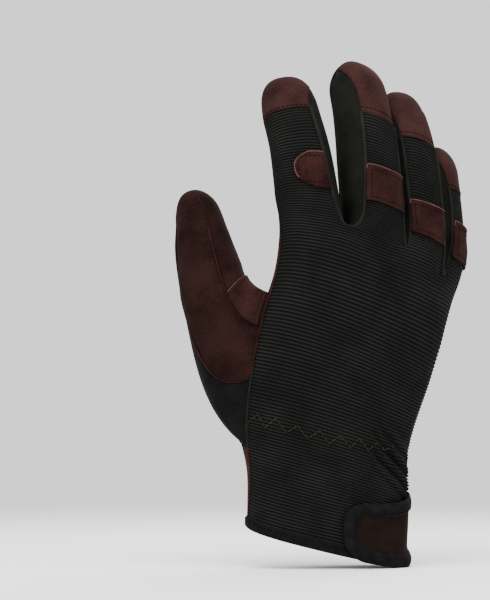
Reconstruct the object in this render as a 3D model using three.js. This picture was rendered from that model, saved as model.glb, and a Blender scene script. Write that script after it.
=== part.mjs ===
// A right-hand work glove, in the form that a hand gives it: fingers up (+Z), back of the hand to -Y,
// thumb to -X. The origin is the centre of the cuff opening. Sizes are in millimetres, angles in degrees.
// The glove is sewn from curved sheets. Each sheet is a patch of one of three surfaces, the hand,
// a finger or the thumb, thickened along its normals, so neighbours share the seam line between them.
import * as THREE from "three";

// Driving dimensions
const CLOTH = 1.2; // stretch fabric on the back and between the fingers
const SUEDE = 1.4; // palm and thumb leather
const OVERLAY = 1.1; // patches sewn on top
const SEAM_GAP = 0.34; // free space between two sheets at a seam
const BINDING_HEIGHT = 5; // tape round the cuff edge
const SQUARENESS = 0.16; // how far a section fills its corners, 0 is an ellipse

// Sections of the hand. l is the height of the section's centre, half_width runs from the thumb side
// to the little-finger side, back and palm are the thickness each side of the centre. roll turns the
// back towards the little finger, slope drops that side, lean lifts the back edge, and seam is the
// angle of the thumb-side seam.
const HAND = [
  { l: 0, x: 0, y: 0, half_width: 39.4, back: 20, palm: 18, roll: 8, slope: 14.5, lean: -6, seam: -88 },
  { l: 26, x: 0.4, y: 0, half_width: 39.8, back: 20, palm: 18, roll: 8, slope: 14, lean: -4, seam: -75 },
  { l: 56, x: -1, y: 1, half_width: 43.4, back: 20.5, palm: 20, roll: 11, slope: 12.5, lean: -2, seam: -64 },
  { l: 92, x: 8.4, y: 3, half_width: 46, back: 22.5, palm: 21, roll: 17, slope: 12, lean: 6, seam: -78 },
  { l: 119, x: 16.8, y: 6, half_width: 46.2, back: 23.5, palm: 20, roll: 24, slope: 13, lean: 12, seam: -92 },
  { l: 138, x: 19, y: 9, half_width: 47.2, back: 23, palm: 19, roll: 29, slope: 13, lean: 17, seam: -95 },
  { l: 153, x: 21.5, y: 12, half_width: 49.3, back: 22, palm: 18, roll: 31, slope: 13, lean: 19, seam: -95 },
  { l: 174, x: 25, y: 16, half_width: 49, back: 20, palm: 17, roll: 32, slope: 12, lean: 20, seam: -95 },
];
const LITTLE_SIDE_SEAM = 95; // angle of the seam on the little-finger side of the hand

// Sections of the fingers, from inside the hand to the tip. wide and deep are half sizes.
// shift turns a height into the hand's l, cap is where the leather tip starts, patch is the knuckle patch.
const FINGERS = [
  { name: "index", shift: -7, cap: 206, patch: [169, 185.5], sections: [
    { x: -7.5, y: -5, z: 143.5, wide: 16.2, deep: 15, roll: 0, slope: 10, lean: 14 },
    { x: -8, y: -4.5, z: 162, wide: 15.8, deep: 14.8, roll: -2, slope: 8, lean: 13 },
    { x: -10, y: -2, z: 179.5, wide: 15.2, deep: 14, roll: -6, slope: 7, lean: 10 },
    { x: -12.5, y: 2, z: 194.5, wide: 14.6, deep: 13.5, roll: -8, slope: 7, lean: 6 },
    { x: -15.6, y: 8, z: 207, wide: 14.2, deep: 13, roll: -8, slope: 7, lean: 2 },
    { x: -18, y: 14.5, z: 218, wide: 13.4, deep: 12.4, roll: -8, slope: 5, lean: 0 },
    { x: -19.5, y: 20, z: 226, wide: 12.8, deep: 12, roll: -8, slope: 3, lean: 0 },
  ] },
  { name: "middle", shift: 1, cap: 204, patch: [163, 180], sections: [
    { x: 24, y: 5.5, z: 139.5, wide: 14.4, deep: 13.8, roll: 26, slope: 13, lean: 14 },
    { x: 23, y: 6.5, z: 158.5, wide: 14.2, deep: 13.8, roll: 32, slope: 13, lean: 13 },
    { x: 21.5, y: 8.5, z: 179.5, wide: 14, deep: 13.8, roll: 40, slope: 12, lean: 10 },
    { x: 19.8, y: 13, z: 199.5, wide: 13.8, deep: 13.2, roll: 43, slope: 10, lean: 6 },
    { x: 17.8, y: 19.5, z: 214, wide: 13.2, deep: 12.6, roll: 44, slope: 6, lean: 2 },
    { x: 15, y: 27, z: 226, wide: 12.4, deep: 12, roll: 44, slope: 3, lean: 0 },
    { x: 12.8, y: 33.5, z: 234, wide: 11.6, deep: 11.2, roll: 44, slope: 0, lean: 0 },
  ] },
  { name: "ring", shift: 6, cap: 193, patch: [147, 164], sections: [
    { x: 45.6, y: 20.4, z: 132, wide: 11.8, deep: 11.8, roll: 34, slope: 13, lean: 14 },
    { x: 45.2, y: 22.6, z: 151, wide: 12.4, deep: 12.4, roll: 34, slope: 13, lean: 13 },
    { x: 44, y: 25, z: 172, wide: 12.4, deep: 12.4, roll: 32, slope: 13, lean: 10 },
    { x: 42.6, y: 29.5, z: 188, wide: 12.2, deep: 12.2, roll: 31, slope: 12, lean: 6 },
    { x: 40.4, y: 36, z: 201, wide: 11.8, deep: 11.6, roll: 31, slope: 8, lean: 2 },
    { x: 37.8, y: 42.5, z: 210, wide: 11.3, deep: 11.2, roll: 31, slope: 4, lean: 0 },
    { x: 34.7, y: 51, z: 220, wide: 10.9, deep: 10.7, roll: 31, slope: 0, lean: 0 },
  ] },
  { name: "little", shift: 10, cap: 172, patch: [139, 156], sections: [
    { x: 57, y: 43, z: 124.5, wide: 10.8, deep: 11, roll: 60, slope: 13, lean: 14 },
    { x: 58.4, y: 44, z: 140.5, wide: 10.8, deep: 11, roll: 66, slope: 13, lean: 13 },
    { x: 58.6, y: 45, z: 154.5, wide: 10.7, deep: 10.9, roll: 70, slope: 13, lean: 10 },
    { x: 57.9, y: 47.5, z: 166.5, wide: 10.5, deep: 10.8, roll: 71, slope: 12, lean: 6 },
    { x: 56.8, y: 50.5, z: 177.5, wide: 10.3, deep: 10.5, roll: 68, slope: 8, lean: 2 },
    { x: 56, y: 55, z: 186, wide: 10, deep: 10, roll: 62, slope: 4, lean: 0 },
    { x: 55.7, y: 60.5, z: 194, wide: 9.7, deep: 9.6, roll: 58, slope: 0, lean: 0 },
  ] },
];
const INDEX_PATCH_SIDE = 0.56; // the index finger's patch stops short on the thumb side
const INDEX_PATCH_ROUND = 0.16; // how much that end is rounded
const INDEX_PATCH_POWER = 2.6; // how late the rounding sets in
const DOME = 13; // length of a rounded fingertip
const DOME_POWER = 2.3; // 2 is a round fingertip, more is a blunter one
const TAPER = 1.5; // length of the taper of the side strips, in domes
const BACK_CORNER = 47; // angle of the seam between a finger's back and its side
const PALM_CORNER = 132; // angle of the seam between a finger's side and its front
const OUTER_CORNER = 84; // the same on the outer sides of the index and little finger
const TAPER_END = 3; // where that taper ends, below the tip
const STRIP_END = 3.6; // where the side strips themselves end

// Where the hand divides into fingers: angles on the back and on the palm, and the height of each crotch
const CROTCHES = [
  { back: -26, palm: -175, l: 146 },
  { back: 4, palm: -205, l: 145 },
  { back: 31, palm: -232, l: 139 },
];
const CROTCH_OPENING = 17; // length over which a crotch opens to the full gap
const KNUCKLE_BLEND = 24; // how far below a crotch a finger's shape begins
const PALM_CROTCH_RISE = 3; // how much higher the crotches are on the palm
const PALM_PATCH = { low: 74, high: 131, from: 0.4, to: 3.8, columns: 17 };
const BRIDGE_WIDTH = 33; // back to palm at a crotch
const STRIP_WIDTH = 21; // width of a side strip on a finger
const STRIP_EDGE = 0.44; // how far a side strip's edge keeps from the panels
const STRIP_TUCK = 3.92; // and how much more at the crotch, where it lies inside them

// The wrist tab: angles of its free and sewn ends, its length round the cuff, its heights at both ends
const TAB = { free: 8, sewn: 96, length: 56, low: 0.4, high: 25, high_sewn: 35, corner: 9 };
const TAB_LIFT = 1.35; // clears the cuff tape
const TAB_RIM = 4.4; // width of its own tape
const TAB_TAPE = 2; // thickness of that tape
const TAPE_IN = -2.2; // tape section, inside and outside of the cuff surface
const TAPE_OUT = 1;
const TAPE_BEVEL = 0.7;
const TAPE_COLUMNS = 40;
const TAB_TAPE_COLUMNS = 30;
const TAB_ROWS = [0.004, 0.06, 0.16, 0.3, 0.5, 0.7, 0.84, 0.94, 0.996]; // closer at the corners

// The thumb: a hole in the hand's thumb side, and rings of a tube that grows out of it
const THUMB_HOLE = { middle: 75, half_height: 34, depth: 88, blunt: 0.42 };
const THUMB = [
  { x: -55.5, y: 12, z: 128, wide: 14.8, deep: 16, slope: -20 },
  { x: -59.8, y: 17, z: 147, wide: 13.2, deep: 14.2, slope: -14 },
  { x: -61.8, y: 21, z: 160, wide: 11, deep: 12.2, slope: -6 },
  { x: -66.2, y: 25.5, z: 172, wide: 9, deep: 10.4, slope: 0 },
];
const THUMB_SEAM = { root: 35, thumb: 16 }; // angle of the seam between the thumb's two leathers
const OUTER_SEAM = { root: 210, thumb: 210 }; // between its palm leather and the outer strip
const STRIP_SEAM = { root: -2, thumb: -80 }; // between that strip and the back leather
const SEAM_TURN = 1.3; // how soon a seam leaves its angle at the root
const THUMB_DOME = 11;
const THUMB_ROOT = 0.55; // share of the thumb's length that is lofted from the hole
const THUMB_LEAN = 0.8; // how far the loft leaves the hole sideways
const THUMB_LEAVE = 1.05; // how strongly it does, as a share of its length
const THUMB_ARRIVE = 0.9; // how strongly it follows the thumb's axis at the first ring

// How finely the sheets are divided
const BACK_ROWS = [5.3, 14, 24, 34, 44, 54, 64, 74, 84, 94, 104, 113, 121, 128, 134];
const CUFF_ROWS = [5.3, 14, 23, 32];
const KNUCKLE_ROWS = [116, 123, 130, 136];
const NOTCH_ROWS = [-1, -0.985, -0.94, -0.85, -0.7, -0.5, -0.25, 0, 0.25, 0.5, 0.7, 0.85, 0.94, 0.985, 1];
const UPPER_CROTCH_ROW = 151;
const STRIP_COLUMNS = [0, 0.2, 0.4, 0.6, 0.8, 1];
const DOME_ROWS = [0, 0.3, 0.55, 0.76, 0.9, 0.975, 0.9995];
const FOURCHETTE_ROWS = [0.02, 0.05, 0.1, 0.17, 0.25, 0.36, 0.5, 0.64, 0.78, 0.88, 0.95, 1];
const THUMB_ROWS = [
  0, 0.03, 0.11, 0.22, 0.33, 0.44, 0.55, 0.65, 0.75, 0.83, 0.89, 0.94, 0.97, 0.99, 0.9995,
];
const CROTCH_PATCH = { columns: 5, first_row: 1, last_row: 5 }; // the part of the thumb's palm it covers
const THUMB_START = 0.012; // share of the thumb's length left free round its hole, at the back
const THUMB_PALM_START = 0.022; // and on the palm
const SLOPE_STEP = 0.004; // share of a sheet over which its slope is measured
const PANEL_STEP = 0.5; // the same in millimetres on the hand panels
const OUTER_ROOM = 1.6; // how much wider the gap is along the two outer seams
const FINGER_ARC = 24; // width of one finger's strip
const OVERLAY_GAP = 0.42; // under a patch
const OVERLAY_TOP = OVERLAY_GAP + OVERLAY;
const PATCH_SIDE = 0.03; // bare share of the strip beside a knuckle patch

const radians = THREE.MathUtils.degToRad;
const clamp = THREE.MathUtils.clamp;
const mix = THREE.MathUtils.lerp;

// A smooth curve through a table's column, by Hermite pieces with finite-difference slopes.
function column(rows, key, name) {
  const at = rows.map((row) => row[key]);
  const value = rows.map((row) => row[name]);
  const secant = (i) => (value[i + 1] - value[i]) / (at[i + 1] - at[i]);
  const last = at.length - 1;
  const slope = value.map((_, i) => {
    if (i === 0) return secant(0);
    if (i === last) return secant(last - 1);
    return (secant(i - 1) + secant(i)) / 2;
  });
  return (where) => {
    if (where <= at[0]) return value[0] + slope[0] * (where - at[0]);
    if (where >= at[last]) return value[last] + slope[last] * (where - at[last]);
    const i = at.findIndex((a) => a > where) - 1;
    const h = at[i + 1] - at[i];
    const t = (where - at[i]) / h;
    const rest = 1 - t;
    return (1 + 2 * t) * rest * rest * value[i] + t * rest * rest * h * slope[i]
      + t * t * (3 - 2 * t) * value[i + 1] - t * t * rest * h * slope[i + 1];
  };
}

function curves(rows, key) {
  const names = Object.keys(rows[0]).filter((name) => name !== key);
  return Object.fromEntries(names.map((name) => [name, column(rows, key, name)]));
}

// A point of a rounded section: 0 degrees is the back, 90 the little-finger side, 180 the palm.
function sectionPoint(angle, wide, deep) {
  const s = Math.sin(radians(angle));
  const c = Math.cos(radians(angle));
  return [wide * s * (1 + SQUARENESS * c * c), deep * c * (1 + SQUARENESS * s * s)];
}

const hand = curves(HAND, "l");

function handPoint(angle, l, off = 0) {
  const deep = Math.cos(radians(angle)) > 0 ? hand.back(l) : hand.palm(l);
  const [across, out] = sectionPoint(angle, hand.half_width(l) + off, deep + off);
  const roll = radians(hand.roll(l));
  const point = new THREE.Vector3(
    across * Math.cos(roll) + out * Math.sin(roll),
    across * Math.sin(roll) - out * Math.cos(roll),
    0,
  );
  point.applyAxisAngle(new THREE.Vector3(1, 0, 0), -radians(hand.lean(l)));
  point.applyAxisAngle(new THREE.Vector3(0, 1, 0), radians(hand.slope(l)));
  return point.add(new THREE.Vector3(hand.x(l), hand.y(l), l));
}

// The frame of a tube's section: its back and its side, square to the centre line.
function tubeFrame(curve, z, rollDegrees) {
  const step = 0.5;
  const tangent = new THREE.Vector3(
    curve.x(z + step) - curve.x(z - step),
    curve.y(z + step) - curve.y(z - step),
    2 * step,
  ).normalize();
  const near = new THREE.Vector3(0, -1, 0);
  near.addScaledVector(tangent, -near.dot(tangent)).normalize();
  const side = new THREE.Vector3().crossVectors(tangent, near);
  const roll = radians(rollDegrees);
  const back = near.clone().multiplyScalar(Math.cos(roll)).addScaledVector(side, Math.sin(roll));
  const across = side.clone().multiplyScalar(Math.cos(roll)).addScaledVector(near, -Math.sin(roll));
  return { tangent, back, across };
}

const fingers = FINGERS.map((finger) => {
  const tip = finger.sections.at(-1).z + finger.shift;
  return { ...finger, curve: curves(finger.sections, "z"), tip, dome: tip - DOME };
});

function fingerPoint(finger, angle, l) {
  const share = clamp((l - finger.dome) / DOME, 0, 1);
  const shrink = Math.pow(Math.max(0, 1 - Math.pow(share, DOME_POWER)), 1 / DOME_POWER);
  const z = l - finger.shift;
  const { curve } = finger;
  const frame = tubeFrame(curve, z, curve.roll(z));
  const [across, out] = sectionPoint(angle, curve.wide(z) * shrink, curve.deep(z) * shrink);
  const point = frame.back.clone().multiplyScalar(out).addScaledVector(frame.across, across);
  point.z -= Math.tan(radians(curve.slope(z))) * point.x + Math.tan(radians(curve.lean(z))) * point.y;
  return point.add(new THREE.Vector3(curve.x(z), curve.y(z), z));
}

// Near the tip the side strips taper, until the back and the front meet over the tip.
function corner(finger, angle, l) {
  const start = finger.tip - TAPER * DOME;
  const share = clamp((l - start) / (finger.tip - TAPER_END - start), 0, 1);
  return mix(angle, 90, share * share);
}

// How much of a point belongs to its finger. side is 0 to 1 across the finger.
function fingerShare(index, side, l, rise) {
  const left = CROTCHES[index - 1] ?? CROTCHES[0];
  const right = CROTCHES[index] ?? CROTCHES[2];
  const inside = index === 0 ? side : index === 3 ? 1 - side : 1;
  const crotch = mix(left.l, right.l, clamp(side, 0, 1)) + rise * inside;
  let inner = clamp(4 * side * (1 - side), 0, 1);
  if ((index === 0 && side < 0.5) || (index === 3 && side > 0.5)) inner = 1;
  const start = crotch - KNUCKLE_BLEND * inner;
  const share = clamp((l - start) / (crotch + CROTCH_OPENING - start), 0, 1);
  const round = Math.sqrt(share * (2 - share));
  const smooth = share * share * (3 - 2 * share);
  return mix(round, smooth, Math.sqrt(inner));
}

function blended(index, side, l, handAngle, fingerAngle, rise) {
  const share = fingerShare(index, side, l, rise);
  if (share >= 1) return fingerPoint(fingers[index], fingerAngle, l);
  return handPoint(handAngle, l).lerp(fingerPoint(fingers[index], fingerAngle, l), share);
}

// across runs 0 to 4, one unit a finger, from the thumb side to the little-finger side.
function fingerAt(across) {
  const index = clamp(Math.floor(across), 0, 3);
  return [index, across - index];
}

function backPoint(across, l, forced) {
  const index = forced ?? fingerAt(across)[0];
  const side = across - index;
  const edges = [hand.seam(l), ...CROTCHES.map((crotch) => crotch.back), LITTLE_SIDE_SEAM];
  const finger = fingers[index];
  const low = -corner(finger, index === 0 ? OUTER_CORNER : BACK_CORNER, l);
  const high = corner(finger, index === 3 ? OUTER_CORNER : BACK_CORNER, l);
  return blended(index, side, l, mix(edges[index], edges[index + 1], side), mix(low, high, side), 0);
}

// How far the thumb's hole cuts into the palm at a height, in degrees.
function notch(l) {
  const share = (l - THUMB_HOLE.middle) / THUMB_HOLE.half_height;
  return Math.abs(share) < 1 ? THUMB_HOLE.depth * Math.pow(1 - share * share, THUMB_HOLE.blunt) : 0;
}

function palmPoint(across, l, forced) {
  const index = forced ?? fingerAt(across)[0];
  const side = across - index;
  const start = hand.seam(l);
  const end = LITTLE_SIDE_SEAM - 360;
  const edges = [start, ...CROTCHES.map((crotch) => crotch.palm), end];
  const plain = mix(edges[index], edges[index + 1], side);
  const handAngle = end + ((plain - end) * (end - start + notch(l))) / (end - start);
  const finger = fingers[index];
  const outer = corner(finger, OUTER_CORNER, l);
  const inner = 180 - corner(finger, 180 - PALM_CORNER, l);
  const low = index === 0 ? -outer : -inner;
  const high = (index === 3 ? outer : inner) - 360;
  return blended(index, side, l, handAngle, mix(low, high, side), PALM_CROTCH_RISE);
}

// A side strip: down the little-finger side of one finger, round the crotch, and up the next one.
// along runs -1 at the first tip, 0 at the crotch, 1 at the second tip. over runs back to palm.
function fourchettePoint(gap, across, along) {
  const crotch = CROTCHES[gap];
  const index = along < 0 ? gap : gap + 1;
  const finger = fingers[index];
  const end = finger.tip - STRIP_END;
  const share = clamp((mix(crotch.l, end, Math.abs(along)) - crotch.l) / CROTCH_OPENING, 0, 1);
  const open = Math.sqrt(share * (2 - share));
  const hidden = STRIP_EDGE + STRIP_TUCK * (1 - share * share);
  const inset = hidden / mix(BRIDGE_WIDTH, STRIP_WIDTH, open);
  const over = mix(inset, 1 - inset, across);
  const start = crotch.l + PALM_CROTCH_RISE * over;
  const l = mix(start, end, Math.abs(along));
  const back = corner(finger, BACK_CORNER, l);
  const front = 180 - corner(finger, 180 - PALM_CORNER, l);
  const angle = mix(back, front, over) * (along < 0 ? 1 : -1);
  const bridge = handPoint(crotch.back, l).lerp(handPoint(crotch.palm, l), over);
  return bridge.lerp(fingerPoint(finger, angle, l), open);
}

// The thumb: turn is 0 towards the viewer of the back, 90 towards the index finger, 180 towards the palm.
const thumb = curves(THUMB, "z");
const THUMB_FIRST = THUMB[0].z;
const THUMB_TIP = THUMB.at(-1).z;

function thumbTube(turn, z) {
  const share = clamp((z - (THUMB_TIP - THUMB_DOME)) / THUMB_DOME, 0, 1);
  const shrink = Math.sqrt(Math.max(0, 1 - share * share));
  const frame = tubeFrame(thumb, z, 0);
  const [across, out] = sectionPoint(turn, thumb.wide(z) * shrink, thumb.deep(z) * shrink);
  const point = frame.back.multiplyScalar(out).addScaledVector(frame.across, across);
  point.z -= Math.tan(radians(thumb.slope(z))) * point.x;
  return point.add(new THREE.Vector3(thumb.x(z), thumb.y(z), z));
}

function thumbRim(turn) {
  const l = THUMB_HOLE.middle + THUMB_HOLE.half_height * Math.sin(radians(turn));
  const inward = Math.max(0, -Math.cos(radians(turn)));
  return [hand.seam(l) - THUMB_HOLE.depth * Math.pow(inward, 0.84), l];
}

const thumbAxis = tubeFrame(thumb, THUMB_FIRST, 0).tangent;

function thumbPoint(turn, along) {
  if (along >= THUMB_ROOT) {
    const share = (along - THUMB_ROOT) / (1 - THUMB_ROOT);
    return thumbTube(turn, mix(THUMB_FIRST, THUMB_TIP, share));
  }
  const rim = handPoint(...thumbRim(turn));
  const ring = thumbTube(turn, THUMB_FIRST);
  const leave = ring.clone().sub(rim).normalize();
  leave.x -= THUMB_LEAN;
  leave.normalize();
  const t = along / THUMB_ROOT;
  const rest = 1 - t;
  const reach = ring.distanceTo(rim);
  const point = rim.clone().multiplyScalar((1 + 2 * t) * rest * rest);
  point.addScaledVector(leave, t * rest * rest * THUMB_LEAVE * reach);
  point.addScaledVector(ring, t * t * (3 - 2 * t));
  return point.addScaledVector(thumbAxis, -t * t * rest * THUMB_ARRIVE * reach);
}

// The seams between the thumb's pieces close up towards its tip.
function thumbPiecePoint(piece) {
  return (side, along) => {
    const inset = THREE.MathUtils.radToDeg(SEAM_GAP / 2 / thumbWidth(along));
    const from = thumbSeam(piece.from, along) + inset;
    const to = thumbSeam(piece.to, along) + (piece.round ?? 0) - inset;
    const turn = mix(from, to, side);
    const start = mix(THUMB_START, THUMB_PALM_START, Math.max(0, -Math.cos(radians(turn))));
    return thumbPoint(turn, mix(start, 1, along));
  };
}

// A seam that runs up the thumb turns from its angle at the root to the one on the thumb itself.
function thumbSeam(seam, along) {
  return mix(seam.thumb, seam.root, Math.pow(Math.max(0, 1 - along / THUMB_ROOT), SEAM_TURN));
}

function thumbWidth(along) {
  const z = mix(THUMB_FIRST, THUMB_TIP, clamp((along - THUMB_ROOT) / (1 - THUMB_ROOT), 0, 1));
  const share = clamp((z - (THUMB_TIP - THUMB_DOME)) / THUMB_DOME, 0, 1);
  return Math.max(1, thumb.wide(z) * Math.sqrt(1 - share * share));
}

function meshOf(points, index) {
  const positions = points.flatMap((point) => point.toArray());
  const geometry = new THREE.BufferGeometry();
  geometry.setAttribute("position", new THREE.Float32BufferAttribute(positions, 3));
  geometry.setIndex(index);
  geometry.computeVertexNormals();
  return geometry;
}

// The tape's section carried round the cuff edge. Each pair is a distance out of the cuff and a height.
function ringOf(turns, section) {
  const points = turns.flatMap((turn) => section.map(([out, up]) => handPoint(turn, up, out)));
  const index = [];
  turns.forEach((_, i) => section.forEach((__, j) => {
    const here = i * section.length;
    const next = ((i + 1) % turns.length) * section.length;
    const after = (j + 1) % section.length;
    index.push(here + j, next + j, next + after, here + j, next + after, here + after);
  }));
  return meshOf(points, index);
}

// The tab lies on the back of the cuff. p runs from its free end round the cuff and q upwards,
// both in millimetres at the free end.
function tabAt(p, q) {
  const grow = mix(TAB.high, TAB.high_sewn, p / TAB.length) - TAB.low;
  return handPoint(mix(TAB.free, TAB.sewn, p / TAB.length), TAB.low + (q / (TAB.high - TAB.low)) * grow);
}

// The tab's tape follows its rounded edge: along runs from the sewn end under, round the free end and back.
function tabTapePoint(inward, along) {
  const { corner, length } = TAB;
  const height = TAB.high - TAB.low;
  const bend = (Math.PI / 2) * corner;
  const parts = [length - corner, bend, height - 2 * corner, bend, length - corner];
  let rest = along * parts.reduce((sum, size) => sum + size, 0);
  let part = 0;
  while (part < parts.length - 1 && rest > parts[part]) {
    rest -= parts[part];
    part += 1;
  }
  if (part === 0) return tabAt(length - rest, inward);
  if (part === 2) return tabAt(inward, corner + rest);
  if (part === 4) return tabAt(corner + rest, height - inward);
  const turn = rest / corner;
  const radius = corner - inward;
  if (part === 1) return tabAt(corner - radius * Math.sin(turn), corner - radius * Math.cos(turn));
  return tabAt(corner - radius * Math.cos(turn), height - corner + radius * Math.sin(turn));
}

// The leather inside the tape, with the same rounded corners.
function tabPoint(u, v) {
  const edge = TAB_RIM + SEAM_GAP;
  const height = TAB.high - TAB.low;
  const q = mix(edge, height - edge, v);
  const radius = TAB.corner - edge;
  const over = clamp(radius - Math.min(q - edge, height - edge - q), 0, radius);
  const start = edge + radius - Math.sqrt(radius * radius - over * over);
  return tabAt(mix(start, TAB.length, u), q);
}

// A sheet sewn into the glove: a mesh of four-cornered cells on a surface, thickened from low to
// high along the outward normals and closed round its edges. facing is 1 where u x v points outwards.
class Sheet {
  constructor(surface, low, high, facing) {
    Object.assign(this, { surface, low, high, facing, keys: new Map(), outer: [], inner: [], cells: [] });
  }

  corner(key, u, v, which) {
    if (this.keys.has(key)) return this.keys.get(key);
    const { surface, stepU, stepV } = this;
    const here = surface(u, v, which);
    const alongU = surface(u + stepU, v, which).sub(surface(u - stepU, v, which));
    const alongV = surface(u, v + stepV, which).sub(surface(u, v - stepV, which));
    const normal = alongU.cross(alongV).normalize().multiplyScalar(this.facing);
    this.outer.push(here.clone().addScaledVector(normal, this.high));
    this.inner.push(here.clone().addScaledVector(normal, this.low));
    this.keys.set(key, this.outer.length - 1);
    return this.outer.length - 1;
  }

  // Cells between neighbouring rows and columns of corners.
  grid(corners) {
    corners.slice(1).forEach((upper, row) => upper.slice(1).forEach((c, col) => {
      const [a, b, d] = [corners[row][col], corners[row][col + 1], upper[col]];
      this.cells.push(this.facing > 0 ? [a, b, c, d] : [a, d, c, b]);
    }));
  }

  geometry() {
    const count = this.outer.length;
    const index = [];
    const quad = (a, b, c, d) => index.push(a, b, c, a, c, d);
    const edges = new Set();
    for (const cell of this.cells) cell.forEach((a, i) => edges.add(`${a} ${cell[(i + 1) % 4]}`));
    for (const cell of this.cells) {
      const [a, b, c, d] = cell;
      quad(a, b, c, d);
      quad(a + count, d + count, c + count, b + count);
      cell.forEach((from, i) => {
        const to = cell[(i + 1) % 4];
        if (!edges.has(`${to} ${from}`)) quad(to, from, from + count, to + count);
      });
    }
    return meshOf([...this.outer, ...this.inner], index);
  }
}

// A plain rectangular sheet over the parameters us and vs.
function plainSheet(surface, us, vs, low, high, facing) {
  const sheet = new Sheet(surface, low, high, facing);
  sheet.stepU = (us.at(-1) - us[0]) * SLOPE_STEP;
  sheet.stepV = (vs.at(-1) - vs[0]) * SLOPE_STEP;
  sheet.grid(vs.map((v, row) => us.map((u, col) => sheet.corner(`${row} ${col}`, u, v))));
  return sheet.geometry();
}

// A panel that runs up from the cuff and divides into four finger strips at the crotches.
function handPanel(surface, rise, rows, tops, thickness, facing) {
  const sheet = new Sheet(surface, -thickness, 0, facing);
  sheet.stepU = PANEL_STEP / FINGER_ARC;
  sheet.stepV = PANEL_STEP;
  const edge = SEAM_GAP / 2 / FINGER_ARC;
  const slits = CROTCHES.map((crotch) => crotch.l + rise);
  const slitRows = [CROTCHES[2].l, mix(CROTCHES[2].l, CROTCHES[1].l, 0.5), CROTCHES[1].l, CROTCHES[0].l];
  const shared = [...rows, ...slitRows.map((l) => l + rise)];
  for (let finger = 0; finger < 4; finger += 1) {
    const rows = [...shared, ...tops[finger]];
    const corners = rows.map((l) => STRIP_COLUMNS.map((side, col) => {
      const gap = col === 0 ? finger - 1 : finger;
      const inside = (col === 0 && finger > 0) || (col === STRIP_COLUMNS.length - 1 && finger < 3);
      const joined = inside && l <= slits[gap] + 0.01;
      const key = joined ? `crotch ${gap} ${l}` : `${finger} ${col} ${l}`;
      const room = joined ? 0 : edge * (inside ? 1 : OUTER_ROOM);
      const inset = room * (Number(col === 0) - Number(col === STRIP_COLUMNS.length - 1));
      return sheet.corner(key, finger + side + inset, l, finger);
    }));
    sheet.grid(corners);
  }
  return sheet.geometry();
}

function steps(from, to, count) {
  return Array.from({ length: count + 1 }, (_, i) => mix(from, to, i / count));
}

const matt = (color, roughness) => new THREE.MeshStandardMaterial({ color, roughness, metalness: 0 });
const MATERIALS = {
  rib: matt(0x1d1f1f, 0.9),
  stretch: matt(0x191b19, 0.8),
  suede: matt(0x4a2826, 0.95),
  patch: matt(0x532e2b, 0.95),
  tape: matt(0x1c1e1e, 0.75),
};

const glove = new THREE.Group();
function add(name, geometry, material) {
  const mesh = new THREE.Mesh(geometry, material);
  mesh.name = name;
  glove.add(mesh);
}

// Back and palm
const domeRows = (finger) => DOME_ROWS.map((share) => finger.dome + DOME * share);
const backTops = fingers.map((finger) => {
  const end = finger.cap + finger.shift - SEAM_GAP / 2;
  return steps(UPPER_CROTCH_ROW, end, 6);
});
const palmTops = fingers.map((finger) => [
  ...steps(UPPER_CROTCH_ROW + PALM_CROTCH_RISE, finger.dome, 7).slice(0, -1),
  ...domeRows(finger),
]);
const holeRows = NOTCH_ROWS.map((share) => THUMB_HOLE.middle + THUMB_HOLE.half_height * share);
const palmRows = [...CUFF_ROWS, ...holeRows, ...KNUCKLE_ROWS];
add("back_panel", handPanel(backPoint, 0, BACK_ROWS, backTops, CLOTH, 1), MATERIALS.rib);
add("palm_panel", handPanel(palmPoint, PALM_CROTCH_RISE, palmRows, palmTops, SUEDE, -1), MATERIALS.suede);

// Leather fingertips and knuckle patches
fingers.forEach((finger, i) => {
  const edge = SEAM_GAP / 2 / FINGER_ARC;
  const strip = (side, l) => backPoint(i + side, l, i);
  const from = finger.cap + SEAM_GAP / 2 + finger.shift;
  const rows = [...steps(from, finger.dome, 2).slice(0, -1), ...domeRows(finger)];
  const tip = plainSheet(strip, steps(edge, 1 - edge, 5), rows, -SUEDE, 0, 1);
  add(`fingertip_${finger.name}`, tip, MATERIALS.suede);

  const [low, high] = finger.patch.map((z) => z + finger.shift);
  const start = i === 0 ? INDEX_PATCH_SIDE : PATCH_SIDE;
  const patchPoint = (u, v) => {
    const turned = i === 0 ? INDEX_PATCH_ROUND * Math.pow(Math.abs(2 * v - 1), INDEX_PATCH_POWER) : 0;
    return strip(mix(start + turned, 1 - PATCH_SIDE, u), mix(low, high, v));
  };
  const patch = plainSheet(patchPoint, steps(0, 1, 5), steps(0, 1, 4), OVERLAY_GAP, OVERLAY_TOP, 1);
  add(`knuckle_patch_${finger.name}`, patch, MATERIALS.patch);
});

// Stretch strips between the fingers
const FOURCHETTE_NAMES = ["index_middle", "middle_ring", "ring_little"];
FOURCHETTE_NAMES.forEach((name, gap) => {
  const surface = (over, along) => fourchettePoint(gap, over, along);
  const alongs = [...FOURCHETTE_ROWS.map((a) => -a).reverse(), 0, ...FOURCHETTE_ROWS];
  const geometry = plainSheet(surface, steps(0, 1, 3), alongs, -CLOTH, 0, -1);
  add(`fourchette_${name}`, geometry, MATERIALS.stretch);
});

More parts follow.
